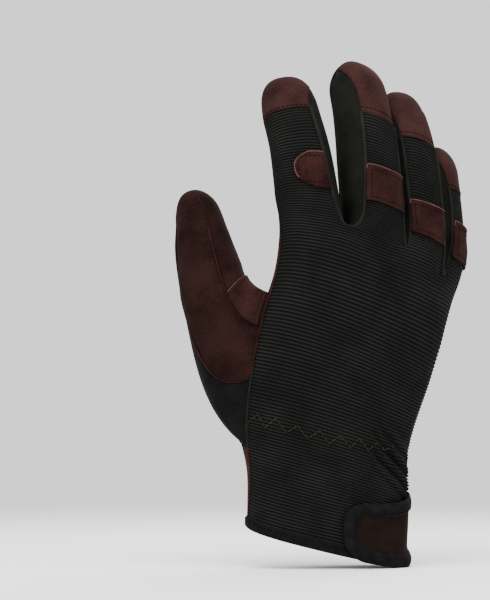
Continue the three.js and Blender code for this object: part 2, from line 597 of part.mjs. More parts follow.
// Thumb
const thumbBack = { from: STRIP_SEAM, to: THUMB_SEAM, columns: 6 };
const thumbPalm = { from: THUMB_SEAM, to: OUTER_SEAM, columns: 8 };
const thumbStrip = { from: OUTER_SEAM, to: STRIP_SEAM, round: 360, columns: 5 };
const THUMB_PIECES = [
  ["thumb_back", thumbBack, MATERIALS.suede],
  ["thumb_palm", thumbPalm, MATERIALS.suede],
  ["thumb_side_strip", thumbStrip, MATERIALS.rib],
];
for (const [name, piece, material] of THUMB_PIECES) {
  const sides = steps(0, 1, piece.columns);
  add(name, plainSheet(thumbPiecePoint(piece), sides, THUMB_ROWS, -SUEDE, 0, 1), material);
}
const crotchTurns = steps(0, 1, thumbPalm.columns).slice(0, CROTCH_PATCH.columns + 1);
const crotchRows = THUMB_ROWS.slice(CROTCH_PATCH.first_row, CROTCH_PATCH.last_row + 1);
const palmOfThumb = thumbPiecePoint(thumbPalm);
const crotchPatch = plainSheet(palmOfThumb, crotchTurns, crotchRows, OVERLAY_GAP, OVERLAY_TOP, 1);
add("thumb_crotch_patch", crotchPatch, MATERIALS.patch);

// Cuff tape and wrist tab
const tapeTurns = steps(0, 360, TAPE_COLUMNS).slice(0, -1);
const tapeSection = [
  [TAPE_IN, TAPE_BEVEL], [TAPE_IN + TAPE_BEVEL, 0],
  [TAPE_OUT - TAPE_BEVEL, 0], [TAPE_OUT, TAPE_BEVEL],
  [TAPE_OUT, BINDING_HEIGHT - TAPE_BEVEL], [TAPE_OUT - TAPE_BEVEL, BINDING_HEIGHT],
  [TAPE_IN + TAPE_BEVEL, BINDING_HEIGHT], [TAPE_IN, BINDING_HEIGHT - TAPE_BEVEL],
];
add("cuff_binding", ringOf(tapeTurns, tapeSection), MATERIALS.tape);
const tabLeather = plainSheet(tabPoint, steps(0, 1, 8), TAB_ROWS, TAB_LIFT, TAB_LIFT + SUEDE, 1);
add("wrist_tab", tabLeather, MATERIALS.suede);
const tabColumns = steps(0, 1, TAB_TAPE_COLUMNS);
const tabTape = plainSheet(tabTapePoint, steps(0, TAB_RIM, 2), tabColumns, TAB_LIFT, TAB_LIFT + TAB_TAPE, 1);
add("tab_binding", tabTape, MATERIALS.tape);

// Palm patch
const patchColumns = steps(PALM_PATCH.from, PALM_PATCH.to, PALM_PATCH.columns);
const patchRows = palmRows.filter((l) => l >= PALM_PATCH.low && l <= PALM_PATCH.high);
const palmPatch = plainSheet(palmPoint, patchColumns, patchRows, OVERLAY_GAP, OVERLAY_TOP, -1);
add("palm_patch", palmPatch, MATERIALS.patch);

export default glove;
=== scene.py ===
# %% [markdown]
# # A leather work glove in Blender
#
# The object is one right-hand work glove, filled as if a hand wore it, with its fingers up. Black
# ribbed stretch cloth covers the back. Suede covers the palm, the thumb and the fingertips. Every
# piece is a sheet sewn to its neighbours, so every piece here is a grid of points on one of three
# smooth shapes: the hand, a finger or the thumb.

# %% Open the frame
import math

import bpy
import numpy as np
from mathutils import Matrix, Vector


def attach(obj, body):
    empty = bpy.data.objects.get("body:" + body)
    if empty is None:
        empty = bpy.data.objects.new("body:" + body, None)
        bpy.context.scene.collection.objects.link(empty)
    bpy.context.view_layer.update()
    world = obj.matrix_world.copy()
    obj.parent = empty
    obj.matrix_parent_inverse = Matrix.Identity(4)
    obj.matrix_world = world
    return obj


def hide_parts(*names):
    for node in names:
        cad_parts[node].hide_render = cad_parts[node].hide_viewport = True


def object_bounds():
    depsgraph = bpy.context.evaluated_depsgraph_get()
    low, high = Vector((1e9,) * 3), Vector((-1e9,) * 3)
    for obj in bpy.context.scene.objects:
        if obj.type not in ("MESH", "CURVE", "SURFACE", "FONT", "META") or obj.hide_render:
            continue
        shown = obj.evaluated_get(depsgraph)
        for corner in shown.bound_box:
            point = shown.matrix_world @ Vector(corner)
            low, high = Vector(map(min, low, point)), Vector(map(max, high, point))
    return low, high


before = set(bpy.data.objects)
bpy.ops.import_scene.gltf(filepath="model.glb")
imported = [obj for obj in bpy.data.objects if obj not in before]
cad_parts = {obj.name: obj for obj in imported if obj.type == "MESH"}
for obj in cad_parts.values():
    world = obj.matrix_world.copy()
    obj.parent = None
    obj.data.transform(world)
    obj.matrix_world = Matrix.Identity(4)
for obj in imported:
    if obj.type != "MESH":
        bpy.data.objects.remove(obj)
size_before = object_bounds()
MM = 0.001
print("frame box", size_before)

# %% [markdown]
# ## The form of the hand
#
# A sewn glove takes the form of what is in it, so the form comes first. The hand could be
# sculpted, but a short table of cross-sections is easier to correct against a photograph.
# Heights, centres, half widths and thicknesses to the back and to the palm run from the cuff up.
# Roll turns the back towards the little finger, slope lowers that side, lean lifts the back,
# and seam is where cloth and leather meet on the thumb side.

# %% Sections of the hand
HAND = dict(
    l=[0, 26, 56, 92, 119, 138, 153, 174],
    x=[0, 0.4, -1, 8.4, 16.8, 19, 21.5, 25],
    y=[0, 0, 1, 3, 6, 9, 12, 16],
    wide=[39.4, 39.8, 43.4, 46, 46.2, 47.2, 49.3, 49],
    back=[20, 20, 20.5, 22.5, 23.5, 23, 22, 20],
    palm=[18, 18, 20, 21, 20, 19, 18, 17],
    roll=[8, 8, 11, 17, 24, 29, 31, 32],
    slope=[14.5, 14, 12.5, 12, 13, 13, 13, 12],
    lean=[-6, -4, -2, 6, 12, 17, 19, 20],
    seam=[-88, -75, -64, -78, -92, -95, -95, -95],
)
LITTLE_SIDE = 95  # angle of the seam on the little-finger side
SQUARENESS = 0.16  # how far a section fills its corners


def cubic(t, start, end, leave, arrive):
    """From start to end, with the given directions there."""
    rest = 1 - t
    low = (1 + 2 * t) * rest**2 * start + t * rest**2 * leave
    return low + t**2 * (3 - 2 * t) * end - t**2 * rest * arrive


def curve_through(places, values):
    """A smooth curve through values at rising places, straight beyond both ends."""
    at, value = np.array(places, float), np.array(values, float)
    secant = np.diff(value) / np.diff(at)
    middle = (secant[:-1] + secant[1:]) / 2
    slope = np.concatenate([secant[:1], middle, secant[-1:]])

    def curve(where):
        where = np.asarray(where, float)
        i = np.clip(np.searchsorted(at, where, side="right") - 1, 0, len(at) - 2)
        step = at[i + 1] - at[i]
        t = np.clip((where - at[i]) / step, 0, 1)
        inside = cubic(t, value[i], value[i + 1], step * slope[i], step * slope[i + 1])
        under = np.minimum(where - at[0], 0) * slope[0]
        over = np.maximum(where - at[-1], 0) * slope[-1]
        return inside + under + over

    return curve


def curves_of(table, key):
    return {name: curve_through(table[key], table[name]) for name in table if name != key}


hand = curves_of(HAND, "l")
print("hand width at the knuckles", round(float(2 * hand["wide"](145)), 1), "mm")

# %% [markdown]
# ## A point on the hand
#
# One rounded outline serves for the hand, the fingers and the thumb: an ellipse that fills its
# corners a little, as padded cloth does. Angle 0 is the back, 90 the little-finger side and 180
# the palm. The functions take whole arrays, so a sheet of thousands of points is quick to work out.

# %% Section and hand point


def mix(a, b, share):
    return a + (b - a) * share


def smooth_step(share):
    share = np.clip(share, 0, 1)
    return share * share * (3 - 2 * share)


def paired(a, b):
    """Two arrays of the same shape, from numbers or arrays."""
    return np.broadcast_arrays(np.asarray(a, float), np.asarray(b, float))


def outline(angle, wide, deep):
    s = np.sin(np.radians(angle))
    c = np.cos(np.radians(angle))
    return wide * s * (1 + SQUARENESS * c * c), deep * c * (1 + SQUARENESS * s * s)


def hand_point(angle, l, off=0.0):
    angle, l = paired(angle, l)
    deep = np.where(np.cos(np.radians(angle)) > 0, hand["back"](l), hand["palm"](l))
    across, out = outline(angle, hand["wide"](l) + off, deep + off)
    roll = np.radians(hand["roll"](l))
    lean = np.radians(hand["lean"](l))
    slope = np.radians(hand["slope"](l))
    x = across * np.cos(roll) + out * np.sin(roll)
    y = across * np.sin(roll) - out * np.cos(roll)
    z = -y * np.sin(lean)
    y = y * np.cos(lean)
    point = [x * np.cos(slope) + z * np.sin(slope), y, z * np.cos(slope) - x * np.sin(slope)]
    return np.stack([point[0] + hand["x"](l), point[1] + hand["y"](l), point[2] + l], -1)


# %% [markdown]
# ## The fingers
#
# Each finger is a bent tube with its own table, from inside the hand to the tip. The fingers curl
# away from the viewer, and they turn more and more towards the little finger, as on a relaxed
# hand. The leather cap starts at the height named cap, and the knuckle patch spans patch.

# %% Sections of the fingers
FINGERS = [
    dict(name="index", shift=-7, cap=206, patch=(169, 185.5), form=dict(
        x=[-7.5, -8, -10, -12.5, -15.6, -18, -19.5],
        y=[-5, -4.5, -2, 2, 8, 14.5, 20],
        z=[143.5, 162, 179.5, 194.5, 207, 218, 226],
        wide=[16.2, 15.8, 15.2, 14.6, 14.2, 13.4, 12.8],
        deep=[15, 14.8, 14, 13.5, 13, 12.4, 12],
        roll=[0, -2, -6, -8, -8, -8, -8],
        slope=[10, 8, 7, 7, 7, 5, 3],
    )),
    dict(name="middle", shift=1, cap=204, patch=(163, 180), form=dict(
        x=[24, 23, 21.5, 19.8, 17.8, 15, 12.8],
        y=[5.5, 6.5, 8.5, 13, 19.5, 27, 33.5],
        z=[139.5, 158.5, 179.5, 199.5, 214, 226, 234],
        wide=[14.4, 14.2, 14, 13.8, 13.2, 12.4, 11.6],
        deep=[13.8, 13.8, 13.8, 13.2, 12.6, 12, 11.2],
        roll=[26, 32, 40, 43, 44, 44, 44],
        slope=[13, 13, 12, 10, 6, 3, 0],
    )),
    dict(name="ring", shift=6, cap=193, patch=(147, 164), form=dict(
        x=[45.6, 45.2, 44, 42.6, 40.4, 37.8, 34.7],
        y=[20.4, 22.6, 25, 29.5, 36, 42.5, 51],
        z=[132, 151, 172, 188, 201, 210, 220],
        wide=[11.8, 12.4, 12.4, 12.2, 11.8, 11.3, 10.9],
        deep=[11.8, 12.4, 12.4, 12.2, 11.6, 11.2, 10.7],
        roll=[34, 34, 32, 31, 31, 31, 31],
        slope=[13, 13, 13, 12, 8, 4, 0],
    )),
    dict(name="little", shift=10, cap=172, patch=(139, 156), form=dict(
        x=[57, 58.4, 58.6, 57.9, 56.8, 56, 55.7],
        y=[43, 44, 45, 47.5, 50.5, 55, 60.5],
        z=[124.5, 140.5, 154.5, 166.5, 177.5, 186, 194],
        wide=[10.8, 10.8, 10.7, 10.5, 10.3, 10, 9.7],
        deep=[11, 11, 10.9, 10.8, 10.5, 10, 9.6],
        roll=[60, 66, 70, 71, 68, 62, 58],
        slope=[13, 13, 13, 12, 8, 4, 0],
    )),
]
FINGER_LEAN = [14, 13, 10, 6, 2, 0, 0]  # the same for all four
DOME = 13  # length of a rounded fingertip
DOME_POWER = 2.3

for finger in FINGERS:
    finger["curve"] = curves_of(dict(finger["form"], lean=FINGER_LEAN), "z")
    finger["tip"] = finger["form"]["z"][-1] + finger["shift"]
    finger["dome"] = finger["tip"] - DOME
    finger["cap"] += finger["shift"]
print([(finger["name"], finger["tip"]) for finger in FINGERS])

# %% Point on a finger
TANGENT_STEP = 0.5  # how far up and down a centre line its direction is taken


def unit(vectors):
    return vectors / np.maximum(np.linalg.norm(vectors, axis=-1, keepdims=True), 1e-12)


def tube_frame(curve, z):
    """Directions along a tube, to its back and to its side, square to its centre line."""
    above, below = z + TANGENT_STEP, z - TANGENT_STEP
    tangent = unit(np.stack([curve[k](above) - curve[k](below) for k in "xy"] + [above - below], -1))
    near = np.zeros_like(tangent)
    near[..., 1] = -1
    near = unit(near - tangent * np.sum(near * tangent, -1, keepdims=True))
    side = np.cross(tangent, near)
    roll = np.radians(curve["roll"](z))[..., None]
    back = near * np.cos(roll) + side * np.sin(roll)
    across = side * np.cos(roll) - near * np.sin(roll)
    return tangent, back, across


def tube_point(curve, angle, z, shrink):
    """A point on a finger or on the thumb. shrink closes the section towards the tip."""
    _, back, side = tube_frame(curve, z)
    across, out = outline(angle, curve["wide"](z) * shrink, curve["deep"](z) * shrink)
    point = back * out[..., None] + side * across[..., None]
    shear = np.tan(np.radians(curve["slope"](z))) * point[..., 0]
    shear = shear + np.tan(np.radians(curve["lean"](z))) * point[..., 1]
    point[..., 2] -= shear
    return point + np.stack([curve["x"](z), curve["y"](z), z], -1)


def finger_point(finger, angle, l):
    angle, l = paired(angle, l)
    share = np.clip((l - finger["dome"]) / DOME, 0, 1)
    shrink = np.maximum(0, 1 - share**DOME_POWER) ** (1 / DOME_POWER)
    return tube_point(finger["curve"], angle, l - finger["shift"], shrink)


# %% [markdown]
# ## From hand to fingers
#
# The back and the palm are each one piece that divides into four strips. Below a crotch a point
# belongs to the hand, well above it to its finger, and in between the two places are mixed. The
# slit starts exactly at the crotch, and its edges open in a U.

# %% Back and palm surfaces
BACK_CORNER = 47  # seam between a finger's back and its side
PALM_CORNER = 132  # seam between a finger's side and its front
OUTER_CORNER = 84  # the same on the outer sides of the hand
STRIP_END = 3  # how far below the tip a finger's two side seams meet
CROTCHES = [
    dict(back=-26, palm=-175, l=146),
    dict(back=4, palm=-205, l=145),
    dict(back=31, palm=-232, l=139),
]
CROTCH_OPENING = 17  # height in which the slit opens to the finger's full form
KNUCKLE_BLEND = 24  # how far below a crotch the hand starts to become fingers
PALM_RISE = 3  # how much higher the crotches are on the palm side
HOLE = dict(middle=75, half=34, depth=88)  # where the thumb is sewn in, depth as an angle
HOLE_POWER = 0.42


def corner(finger, angle, l):
    start = finger["tip"] - 1.5 * DOME
    share = np.clip((l - start) / (finger["tip"] - STRIP_END - start), 0, 1)
    return mix(angle, 90, share * share)


def finger_share(index, side, l, rise):
    left, right = CROTCHES[max(index - 1, 0)], CROTCHES[min(index, 2)]
    inside = side if index == 0 else (1 - side if index == 3 else 1)
    crotch = mix(left["l"], right["l"], np.clip(side, 0, 1)) + rise * inside
    inner = np.clip(4 * side * (1 - side), 0, 1)
    if index == 0:
        inner = np.where(side < 0.5, 1, inner)
    if index == 3:
        inner = np.where(side > 0.5, 1, inner)
    start = crotch - KNUCKLE_BLEND * inner
    share = np.clip((l - start) / (crotch + CROTCH_OPENING - start), 0, 1)
    edge = np.sqrt(share * (2 - share))
    return mix(edge, smooth_step(share), np.sqrt(inner))


def blended(index, side, l, hand_angle, finger_angle, rise):
    share = finger_share(index, side, l, rise)[..., None]
    return mix(hand_point(hand_angle, l), finger_point(FINGERS[index], finger_angle, l), share)


def back_point(index, side, l):
    side, l = paired(side, l)
    edges = [hand["seam"](l)] + [crotch["back"] for crotch in CROTCHES] + [LITTLE_SIDE]
    finger = FINGERS[index]
    low = -corner(finger, OUTER_CORNER if index == 0 else BACK_CORNER, l)
    high = corner(finger, OUTER_CORNER if index == 3 else BACK_CORNER, l)
    hand_angle = mix(edges[index], edges[index + 1], side)
    return blended(index, side, l, hand_angle, mix(low, high, side), 0)


def hole_depth(l):
    share = np.clip((l - HOLE["middle"]) / HOLE["half"], -1, 1)
    return HOLE["depth"] * (1 - share * share) ** HOLE_POWER


def palm_point(index, side, l):
    side, l = paired(side, l)
    start = hand["seam"](l)
    end = LITTLE_SIDE - 360
    edges = [start] + [crotch["palm"] for crotch in CROTCHES] + [end]
    plain = mix(edges[index], edges[index + 1], side)
    hand_angle = end + (plain - end) * (end - start + hole_depth(l)) / (end - start)
    finger = FINGERS[index]
    inner = 180 - corner(finger, 180 - PALM_CORNER, l)
    low = -corner(finger, OUTER_CORNER, l) if index == 0 else -inner
    high = (corner(finger, OUTER_CORNER, l) if index == 3 else inner) - 360
    return blended(index, side, l, hand_angle, mix(low, high, side), PALM_RISE)


# %% [markdown]
# ## The side strips and the thumb
#
# A side strip runs down one finger, round the crotch and up the next, so one parameter goes
# from tip to tip. The thumb is a tube that grows out of a D-shaped hole in the palm piece. A
# cubic curve carries each point from the rim of the hole to the first full ring.

# %% Side strip and thumb surfaces
BRIDGE_WIDTH = 33  # a side strip's width in the crotch
STRIP_WIDTH = 21  # and along the fingers
STRIP_INSET = 0.3  # gap between a side strip and its seam
CROTCH_INSET = 0.5  # what the gap gains in the crotch
STRIP_SHORT = 0.6  # how far a side strip ends before its seams meet
THUMB = dict(
    x=[-55.5, -59.8, -61.8, -66.2],
    y=[12, 17, 21, 25.5],
    z=[128, 147, 160, 172],
    wide=[14.8, 13.2, 11, 9],
    deep=[16, 14.2, 12.2, 10.4],
    slope=[-20, -14, -6, 0],
    roll=[0, 0, 0, 0],
    lean=[0, 0, 0, 0],
)
THUMB_FOOT, THUMB_TIP = THUMB["z"][0], THUMB["z"][-1]
THUMB_DOME = 11
THUMB_ROOT = 0.55  # share of the thumb between the hole and the first ring
THUMB_LEAN = 0.8  # how far the root's surface turns outward as it leaves the hand
THUMB_LEAVE = 1.05
THUMB_ARRIVE = 0.9
RIM_POWER = 0.84
thumb = curves_of(THUMB, "z")


def strip_point(gap, across, along):
    """A point of a side strip. along runs from one fingertip at -1 to the next at 1."""
    across, along = paired(across, along)
    crotch = CROTCHES[gap]
    result = np.zeros(across.shape + (3,))
    for index, chosen in ((gap, along < 0), (gap + 1, along >= 0)):
        finger = FINGERS[index]
        end = finger["tip"] - STRIP_END - STRIP_SHORT
        share = np.clip(np.abs(along) * (end - crotch["l"]) / CROTCH_OPENING, 0, 1)
        opened = np.sqrt(share * (2 - share))
        inset = STRIP_INSET + CROTCH_INSET * (1 - share * share)
        inset = inset / mix(BRIDGE_WIDTH, STRIP_WIDTH, opened)
        over = mix(inset, 1 - inset, across)
        start = crotch["l"] + PALM_RISE * over
        l = mix(start, end, np.abs(along))
        back = corner(finger, BACK_CORNER, l)
        front = 180 - corner(finger, 180 - PALM_CORNER, l)
        angle = mix(back, front, over) * (-1 if index > gap else 1)
        near = hand_point(crotch["back"], l)
        bridge = mix(near, hand_point(crotch["palm"], l), over[..., None])
        point = mix(bridge, finger_point(finger, angle, l), opened[..., None])
        result = np.where(chosen[..., None], point, result)
    return result


def thumb_ring(turn, z):
    share = np.clip((z - (THUMB_TIP - THUMB_DOME)) / THUMB_DOME, 0, 1)
    return tube_point(thumb, turn, z, np.sqrt(np.maximum(0, 1 - share * share)))


def thumb_point(turn, along):
    """A point of the thumb. along runs from the rim of the hole at 0 to the tip at 1."""
    turn, along = paired(turn, along)
    inward = np.maximum(0, -np.cos(np.radians(turn)))
    l = HOLE["middle"] + HOLE["half"] * np.sin(np.radians(turn))
    rim = hand_point(hand["seam"](l) - HOLE["depth"] * inward**RIM_POWER, l)
    first = np.full_like(turn, THUMB_FOOT)
    ring = thumb_ring(turn, first)
    axis, _, _ = tube_frame(thumb, first)
    leave = unit(ring - rim)
    leave[..., 0] -= THUMB_LEAN
    leave = unit(leave)
    reach = np.linalg.norm(ring - rim, axis=-1, keepdims=True)
    t = np.clip(along / THUMB_ROOT, 0, 1)[..., None]
    root = cubic(t, rim, ring, leave * THUMB_LEAVE * reach, axis * THUMB_ARRIVE * reach)
    z = mix(THUMB_FOOT, THUMB_TIP, np.clip((along - THUMB_ROOT) / (1 - THUMB_ROOT), 0, 1))
    return np.where((along < THUMB_ROOT)[..., None], root, thumb_ring(turn, z))


print("thumb tip", np.round(thumb_point(0.0, 1.0), 1))

# %% [markdown]
# ## Materials
#
# The glove has four stuffs: ribbed stretch cloth, smooth stretch cloth, suede and woven tape, and
# thread on top. Each is a Principled shader with uneven colour from two noises, one for blotches and
# one for fibre, and a bump from the fibre. All of it is matt and nearly black, and even a little gloss
# would turn it grey under soft light, so the gloss is almost off. Suede gets a trace of brown sheen for
# its nap. The ribs carry their own height as an attribute, and painted shade darkens their colour in
# the grooves and in the valleys of the gathers with it.

# %% Material helper
MATT = {"Roughness": 0.95, "Specular IOR Level": 0.05, "Sheen Roughness": 0.6}
# painted shade: the near-black colour mixed into the ribbed cloth's grooves
PAINTED_GROOVE_SHADE = (0.002, 0.0021, 0.002)


def set_inputs(node, values):
    for socket, value in values.items():
        node.inputs[socket].default_value = value
    return node


def stuff(name, dark, light, blotch, fibre, bump, sheen=0.0, worn=0.5, grooves=None):
    """A matt woven or napped material. blotch and fibre are noise scales per metre."""
    material = bpy.data.materials.new(name)
    material.use_nodes = True
    nodes = material.node_tree.nodes
    link = material.node_tree.links.new
    shader = set_inputs(nodes["Principled BSDF"], MATT)
    set_inputs(shader, {"Sheen Weight": sheen, "Sheen Tint": (*light, 1)})
    place = nodes.new("ShaderNodeTexCoord")
    big = set_inputs(nodes.new("ShaderNodeTexNoise"), {"Scale": blotch, "Detail": 5})
    fine = set_inputs(nodes.new("ShaderNodeTexNoise"), {"Scale": fibre, "Detail": 3})
    for noise in (big, fine):
        link(place.outputs["Object"], noise.inputs["Vector"])
    both = set_inputs(nodes.new("ShaderNodeMath"), {1: worn})
    both.operation = "MULTIPLY_ADD"
    link(fine.outputs["Fac"], both.inputs[0])
    link(big.outputs["Fac"], both.inputs[2])
    ramp = nodes.new("ShaderNodeValToRGB")
    stops = ((0.3 + worn * 0.35, dark), (0.68 + worn * 0.6, light))
    for stop, (position, tone) in zip(ramp.color_ramp.elements, stops):
        stop.position = position
        stop.color = (*tone, 1)
    link(both.outputs[0], ramp.inputs[0])
    colour = ramp.outputs["Color"]
    # painted shade: where the attribute is low, the colour sinks towards the painted groove shade
    if grooves:
        height = nodes.new("ShaderNodeAttribute")
        height.attribute_name = grooves
        shade = nodes.new("ShaderNodeMix")
        shade.data_type = "RGBA"
        set_inputs(shade, {6: (*PAINTED_GROOVE_SHADE, 1)})
        link(height.outputs["Fac"], shade.inputs[0])
        link(colour, shade.inputs[7])
        colour = shade.outputs[2]
    link(colour, shader.inputs["Base Color"])
    relief = set_inputs(nodes.new("ShaderNodeBump"), {"Strength": 0.7, "Distance": bump * MM})
    link(fine.outputs["Fac"], relief.inputs["Height"])
    link(relief.outputs["Normal"], shader.inputs["Normal"])
    return material


# %% Cloth, suede, tape and thread
KNIT = dict(blotch=90, fibre=3000, bump=0.15)
NAP = dict(fibre=1500, bump=0.35, worn=0.7)
THREAD = dict(blotch=400, fibre=4000, bump=0.05)
RIB = stuff("ribbed_cloth", (0.0052, 0.0053, 0.0049), (0.0145, 0.0148, 0.0138), 60, 2600, 0.12,
            grooves="rib")
STRETCH = stuff("smooth_stretch", (0.0032, 0.0034, 0.0027), (0.0085, 0.0088, 0.0072), **KNIT)
# painted highlight: the piping is a lighter copy of the smooth stretch cloth, standing for the light along
# the raised seams
PIPE = stuff("piping", (0.0052, 0.0056, 0.005), (0.0135, 0.0142, 0.0125), **KNIT)
THUMB_CLOTH = stuff("thumb_cloth", (0.002, 0.002, 0.0019), (0.0062, 0.0061, 0.006), 120, 2600, 0.15)
SUEDE = stuff("suede", (0.0075, 0.003, 0.0027), (0.032, 0.0126, 0.0111), 62, sheen=0.05, **NAP)
# painted shade: the thumb's suede is the same suede made darker, as if the thumb stood in shadow
SHADED_THUMB_SUEDE = stuff("suede_painted_shade_thumb", (0.0026, 0.001, 0.0009), (0.0172, 0.0065, 0.0054), 65, sheen=0.03, **NAP)
PATCH = stuff("patch_suede", (0.0045, 0.0017, 0.0015), (0.0248, 0.009, 0.0078), 95, sheen=0.05, **NAP)
TAB_LEATHER = stuff("tab_leather", (0.0032, 0.0017, 0.0013), (0.0095, 0.0048, 0.0037), 90, 1500, 0.3,
                    worn=0.7)
TAPE = stuff("woven_tape", (0.002, 0.0021, 0.002), (0.0068, 0.007, 0.0068), 300, 3200, 0.2)
BROWN_THREAD = stuff("brown_thread", (0.018, 0.012, 0.007), (0.045, 0.03, 0.018), **THREAD)
LIGHT_THREAD = stuff("light_thread", (0.045, 0.024, 0.02), (0.1, 0.058, 0.048), **THREAD)
DARK_THREAD = stuff("dark_thread", (0.003, 0.0014, 0.0012), (0.009, 0.004, 0.0035), **THREAD)
BLACK_THREAD = stuff("black_thread", (0.0012, 0.0012, 0.0012), (0.004, 0.004, 0.004), **THREAD)
# light leather colour for the cut edges: partly the edge's own colour, partly a painted highlight on the
# edges that face the light
CUT_EDGE_HIGHLIGHT = stuff("cut_edge_painted_highlight", (0.045, 0.02, 0.017), (0.12, 0.058, 0.048), 300, 2500, 0.1)
print(len(bpy.data.materials), "materials")

# %% [markdown]
# ## Sheets
#
# A sheet is a grid of points. Its outward direction at every point comes from the grid itself,
# so ribs, folds and thickness can all be set along it. The inner face is a second grid, and a band of
# faces closes the edge, which shows the real thickness of the cloth wherever a sheet ends.

# %% Sheet helpers
FLIPPED = [0, 3, 2, 1]  # turns a face over and keeps its first corner


def outward(grid, facing):
    normals = np.cross(np.gradient(grid, axis=1), np.gradient(grid, axis=0))
    return unit(normals) * facing


def raised(grid, facing, lift):
    return grid + outward(grid, facing) * lift


def swells(points, size, height):
    """Low uneven swells from a few crossed waves, the same on every run."""
    p = points / size
    wave = np.sin(p[..., 0] * 1.9 + 1.7 * np.sin(p[..., 2] * 1.3 + 0.4))
    wave = wave + np.sin(p[..., 2] * 2.3 + 1.5 * np.sin(p[..., 1] * 1.7 + p[..., 0]))
    return (wave * height / 2)[..., None]


def grid_faces(rows, cols, start=0, facing=1, ring_rows=0, ring_cols=0):
    """Faces of a grid. ring_rows or ring_cols is 1 where the last row or column meets the first."""
    r, c = np.meshgrid(np.arange(rows - 1 + ring_rows), np.arange(cols - 1 + ring_cols), indexing="ij")
    r, c = r.ravel(), c.ravel()
    below, beside = (r + 1) % rows * cols, (c + 1) % cols
    faces = start + np.stack([r * cols + c, r * cols + beside, below + beside, below + c], -1)
    return faces[:, ::facing]


def add_object(name, data):
    made = bpy.data.objects.new(name, data)
    bpy.context.scene.collection.objects.link(made)
    return made


def new_object(name, points, faces, material):
    mesh = bpy.data.meshes.new(name)
    mesh.from_pydata((np.asarray(points) * MM).tolist(), [], [list(face) for face in faces])
    mesh.polygons.foreach_set("use_smooth", [True] * len(mesh.polygons))
    mesh.materials.append(material)
    mesh.update()
    return add_object(name, mesh)


def hand_in(piece, node=None):
    """Sets which body a piece rides on, and hides the node it takes the place of."""
    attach(piece, "root")
    if node:
        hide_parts(node)
    return piece


def sheet(name, grid, low, high, facing, material, node):
    """A closed sheet, low to high millimetres out of a grid."""
    rows, cols, _ = grid.shape
    count = rows * cols
    edge = np.concatenate([
        np.arange(cols), np.arange(1, rows) * cols + cols - 1,
        (rows - 1) * cols + np.arange(cols - 2, -1, -1), np.arange(rows - 2, 0, -1) * cols,
    ])
    after = np.roll(edge, -1)
    band = np.stack([after, edge, edge + count, after + count], -1)
    faces = np.concatenate([
        grid_faces(rows, cols, 0, facing), grid_faces(rows, cols, count, -facing), band[:, ::facing],
    ])
    points = np.concatenate([raised(grid, facing, off).reshape(-1, 3) for off in (high, low)])
    return hand_in(new_object(name, points, faces, material), node)


# %% [markdown]
# ## The ribbed back
#
# The back cloth is knitted in ribs that run across the hand, 1.6 millimetres apart on the hand and
# closer on the fingers, where it is stretched less. A bump map would keep the outline straight, so
# each rib here is real: five rows of points a rib, raised by a rounded wave. The four strips are
# made one by one and joined where they share a column below a crotch.

# %% Ribs and strips
CLOTH = 1.2
SUEDE_THICK = 1.4
SEAM = 0.14  # half of the gap at a seam, in millimetres
FINGER_WIDTH = 24
PANEL_FOOT = 4.6  # the panels' lower edge, inside the cuff tape
PANEL_COLUMNS = 13  # points across each finger's strip
RIB_PITCH = 1.56
FINGER_RIB_PITCH = 1.34
RIB_HEIGHT = 0.42
ROWS_PER_RIB = 5


def rib_count(l):
    over = np.maximum(l - CROTCHES[0]["l"], 0)
    return np.minimum(l, CROTCHES[0]["l"]) / RIB_PITCH + over / FINGER_RIB_PITCH


def rib_rows(low, high):
    count = int((rib_count(high) - rib_count(low)) * ROWS_PER_RIB)
    fine = np.linspace(low, high, 4000)
    return np.interp(np.linspace(rib_count(low), rib_count(high), count), rib_count(fine), fine)


def strip_grid(surface, index, rows, splits):
    """One finger's strip of a panel. Slit edges stay on the shared column below their crotch."""
    room = SEAM / FINGER_WIDTH
    slit_from = [0, *splits, 0]
    first = np.where(rows > slit_from[index], room, 0)[:, None]
    last = np.where(rows > slit_from[index + 1], 1 - room, 1)[:, None]
    sides = first + np.linspace(0, 1, PANEL_COLUMNS) * (last - first)
    l = rows[:, None].repeat(PANEL_COLUMNS, 1)
    return surface(index, sides, l), sides, l


def join_strips(grids, rows_of, splits):
    """Neighbouring strips meet exactly below the crotch between them."""
    for left, right, rows, split in zip(grids, grids[1:], rows_of, splits):
        shared = int(np.sum(rows <= split))
        left[:shared, -1] = right[:shared, 0] = (left[:shared, -1] + right[:shared, 0]) / 2


print(round(float(rib_count(CROTCHES[0]["l"]))), "ribs below the first crotch")

# %% Gathers and bent rows
GATHER_HEIGHT = 1.7
GATHER_MIDDLE = 54  # millimetres above the cuff
GATHER_REACH = 10
GATHER_PITCH = 6.4
GATHER_SLANT = 0.42
GATHER_FROM = 2.6  # strips from the thumb side
STRIP_ROUND = 47  # width of the little finger's strip at the wrist
BEND = 0.0013  # how fast the ribs sink towards the little finger
BEND_FROM = -31.7  # across the hand, where they start to
BEND_GROWS = 50  # height in which the bend starts at the cuff
BEND_FADES = (95, 42)  # where it starts to end, and in what height


def gathers(strip, l):
    """Slanting folds where the elastic pulls the back in at the wrist, by the little finger."""
    around = STRIP_ROUND * (strip - 3)
    height = l + GATHER_SLANT * around
    window = np.exp(-(((height - GATHER_MIDDLE) / GATHER_REACH) ** 2))
    window = window * np.clip((strip - GATHER_FROM) / 0.6, 0, 1) ** 1.5
    turned = 2 * np.pi * (height + 0.8 * np.sin(around / 7)) / GATHER_PITCH
    return GATHER_HEIGHT * window * (np.sin(turned) + 0.25 * np.sin(2 * turned))


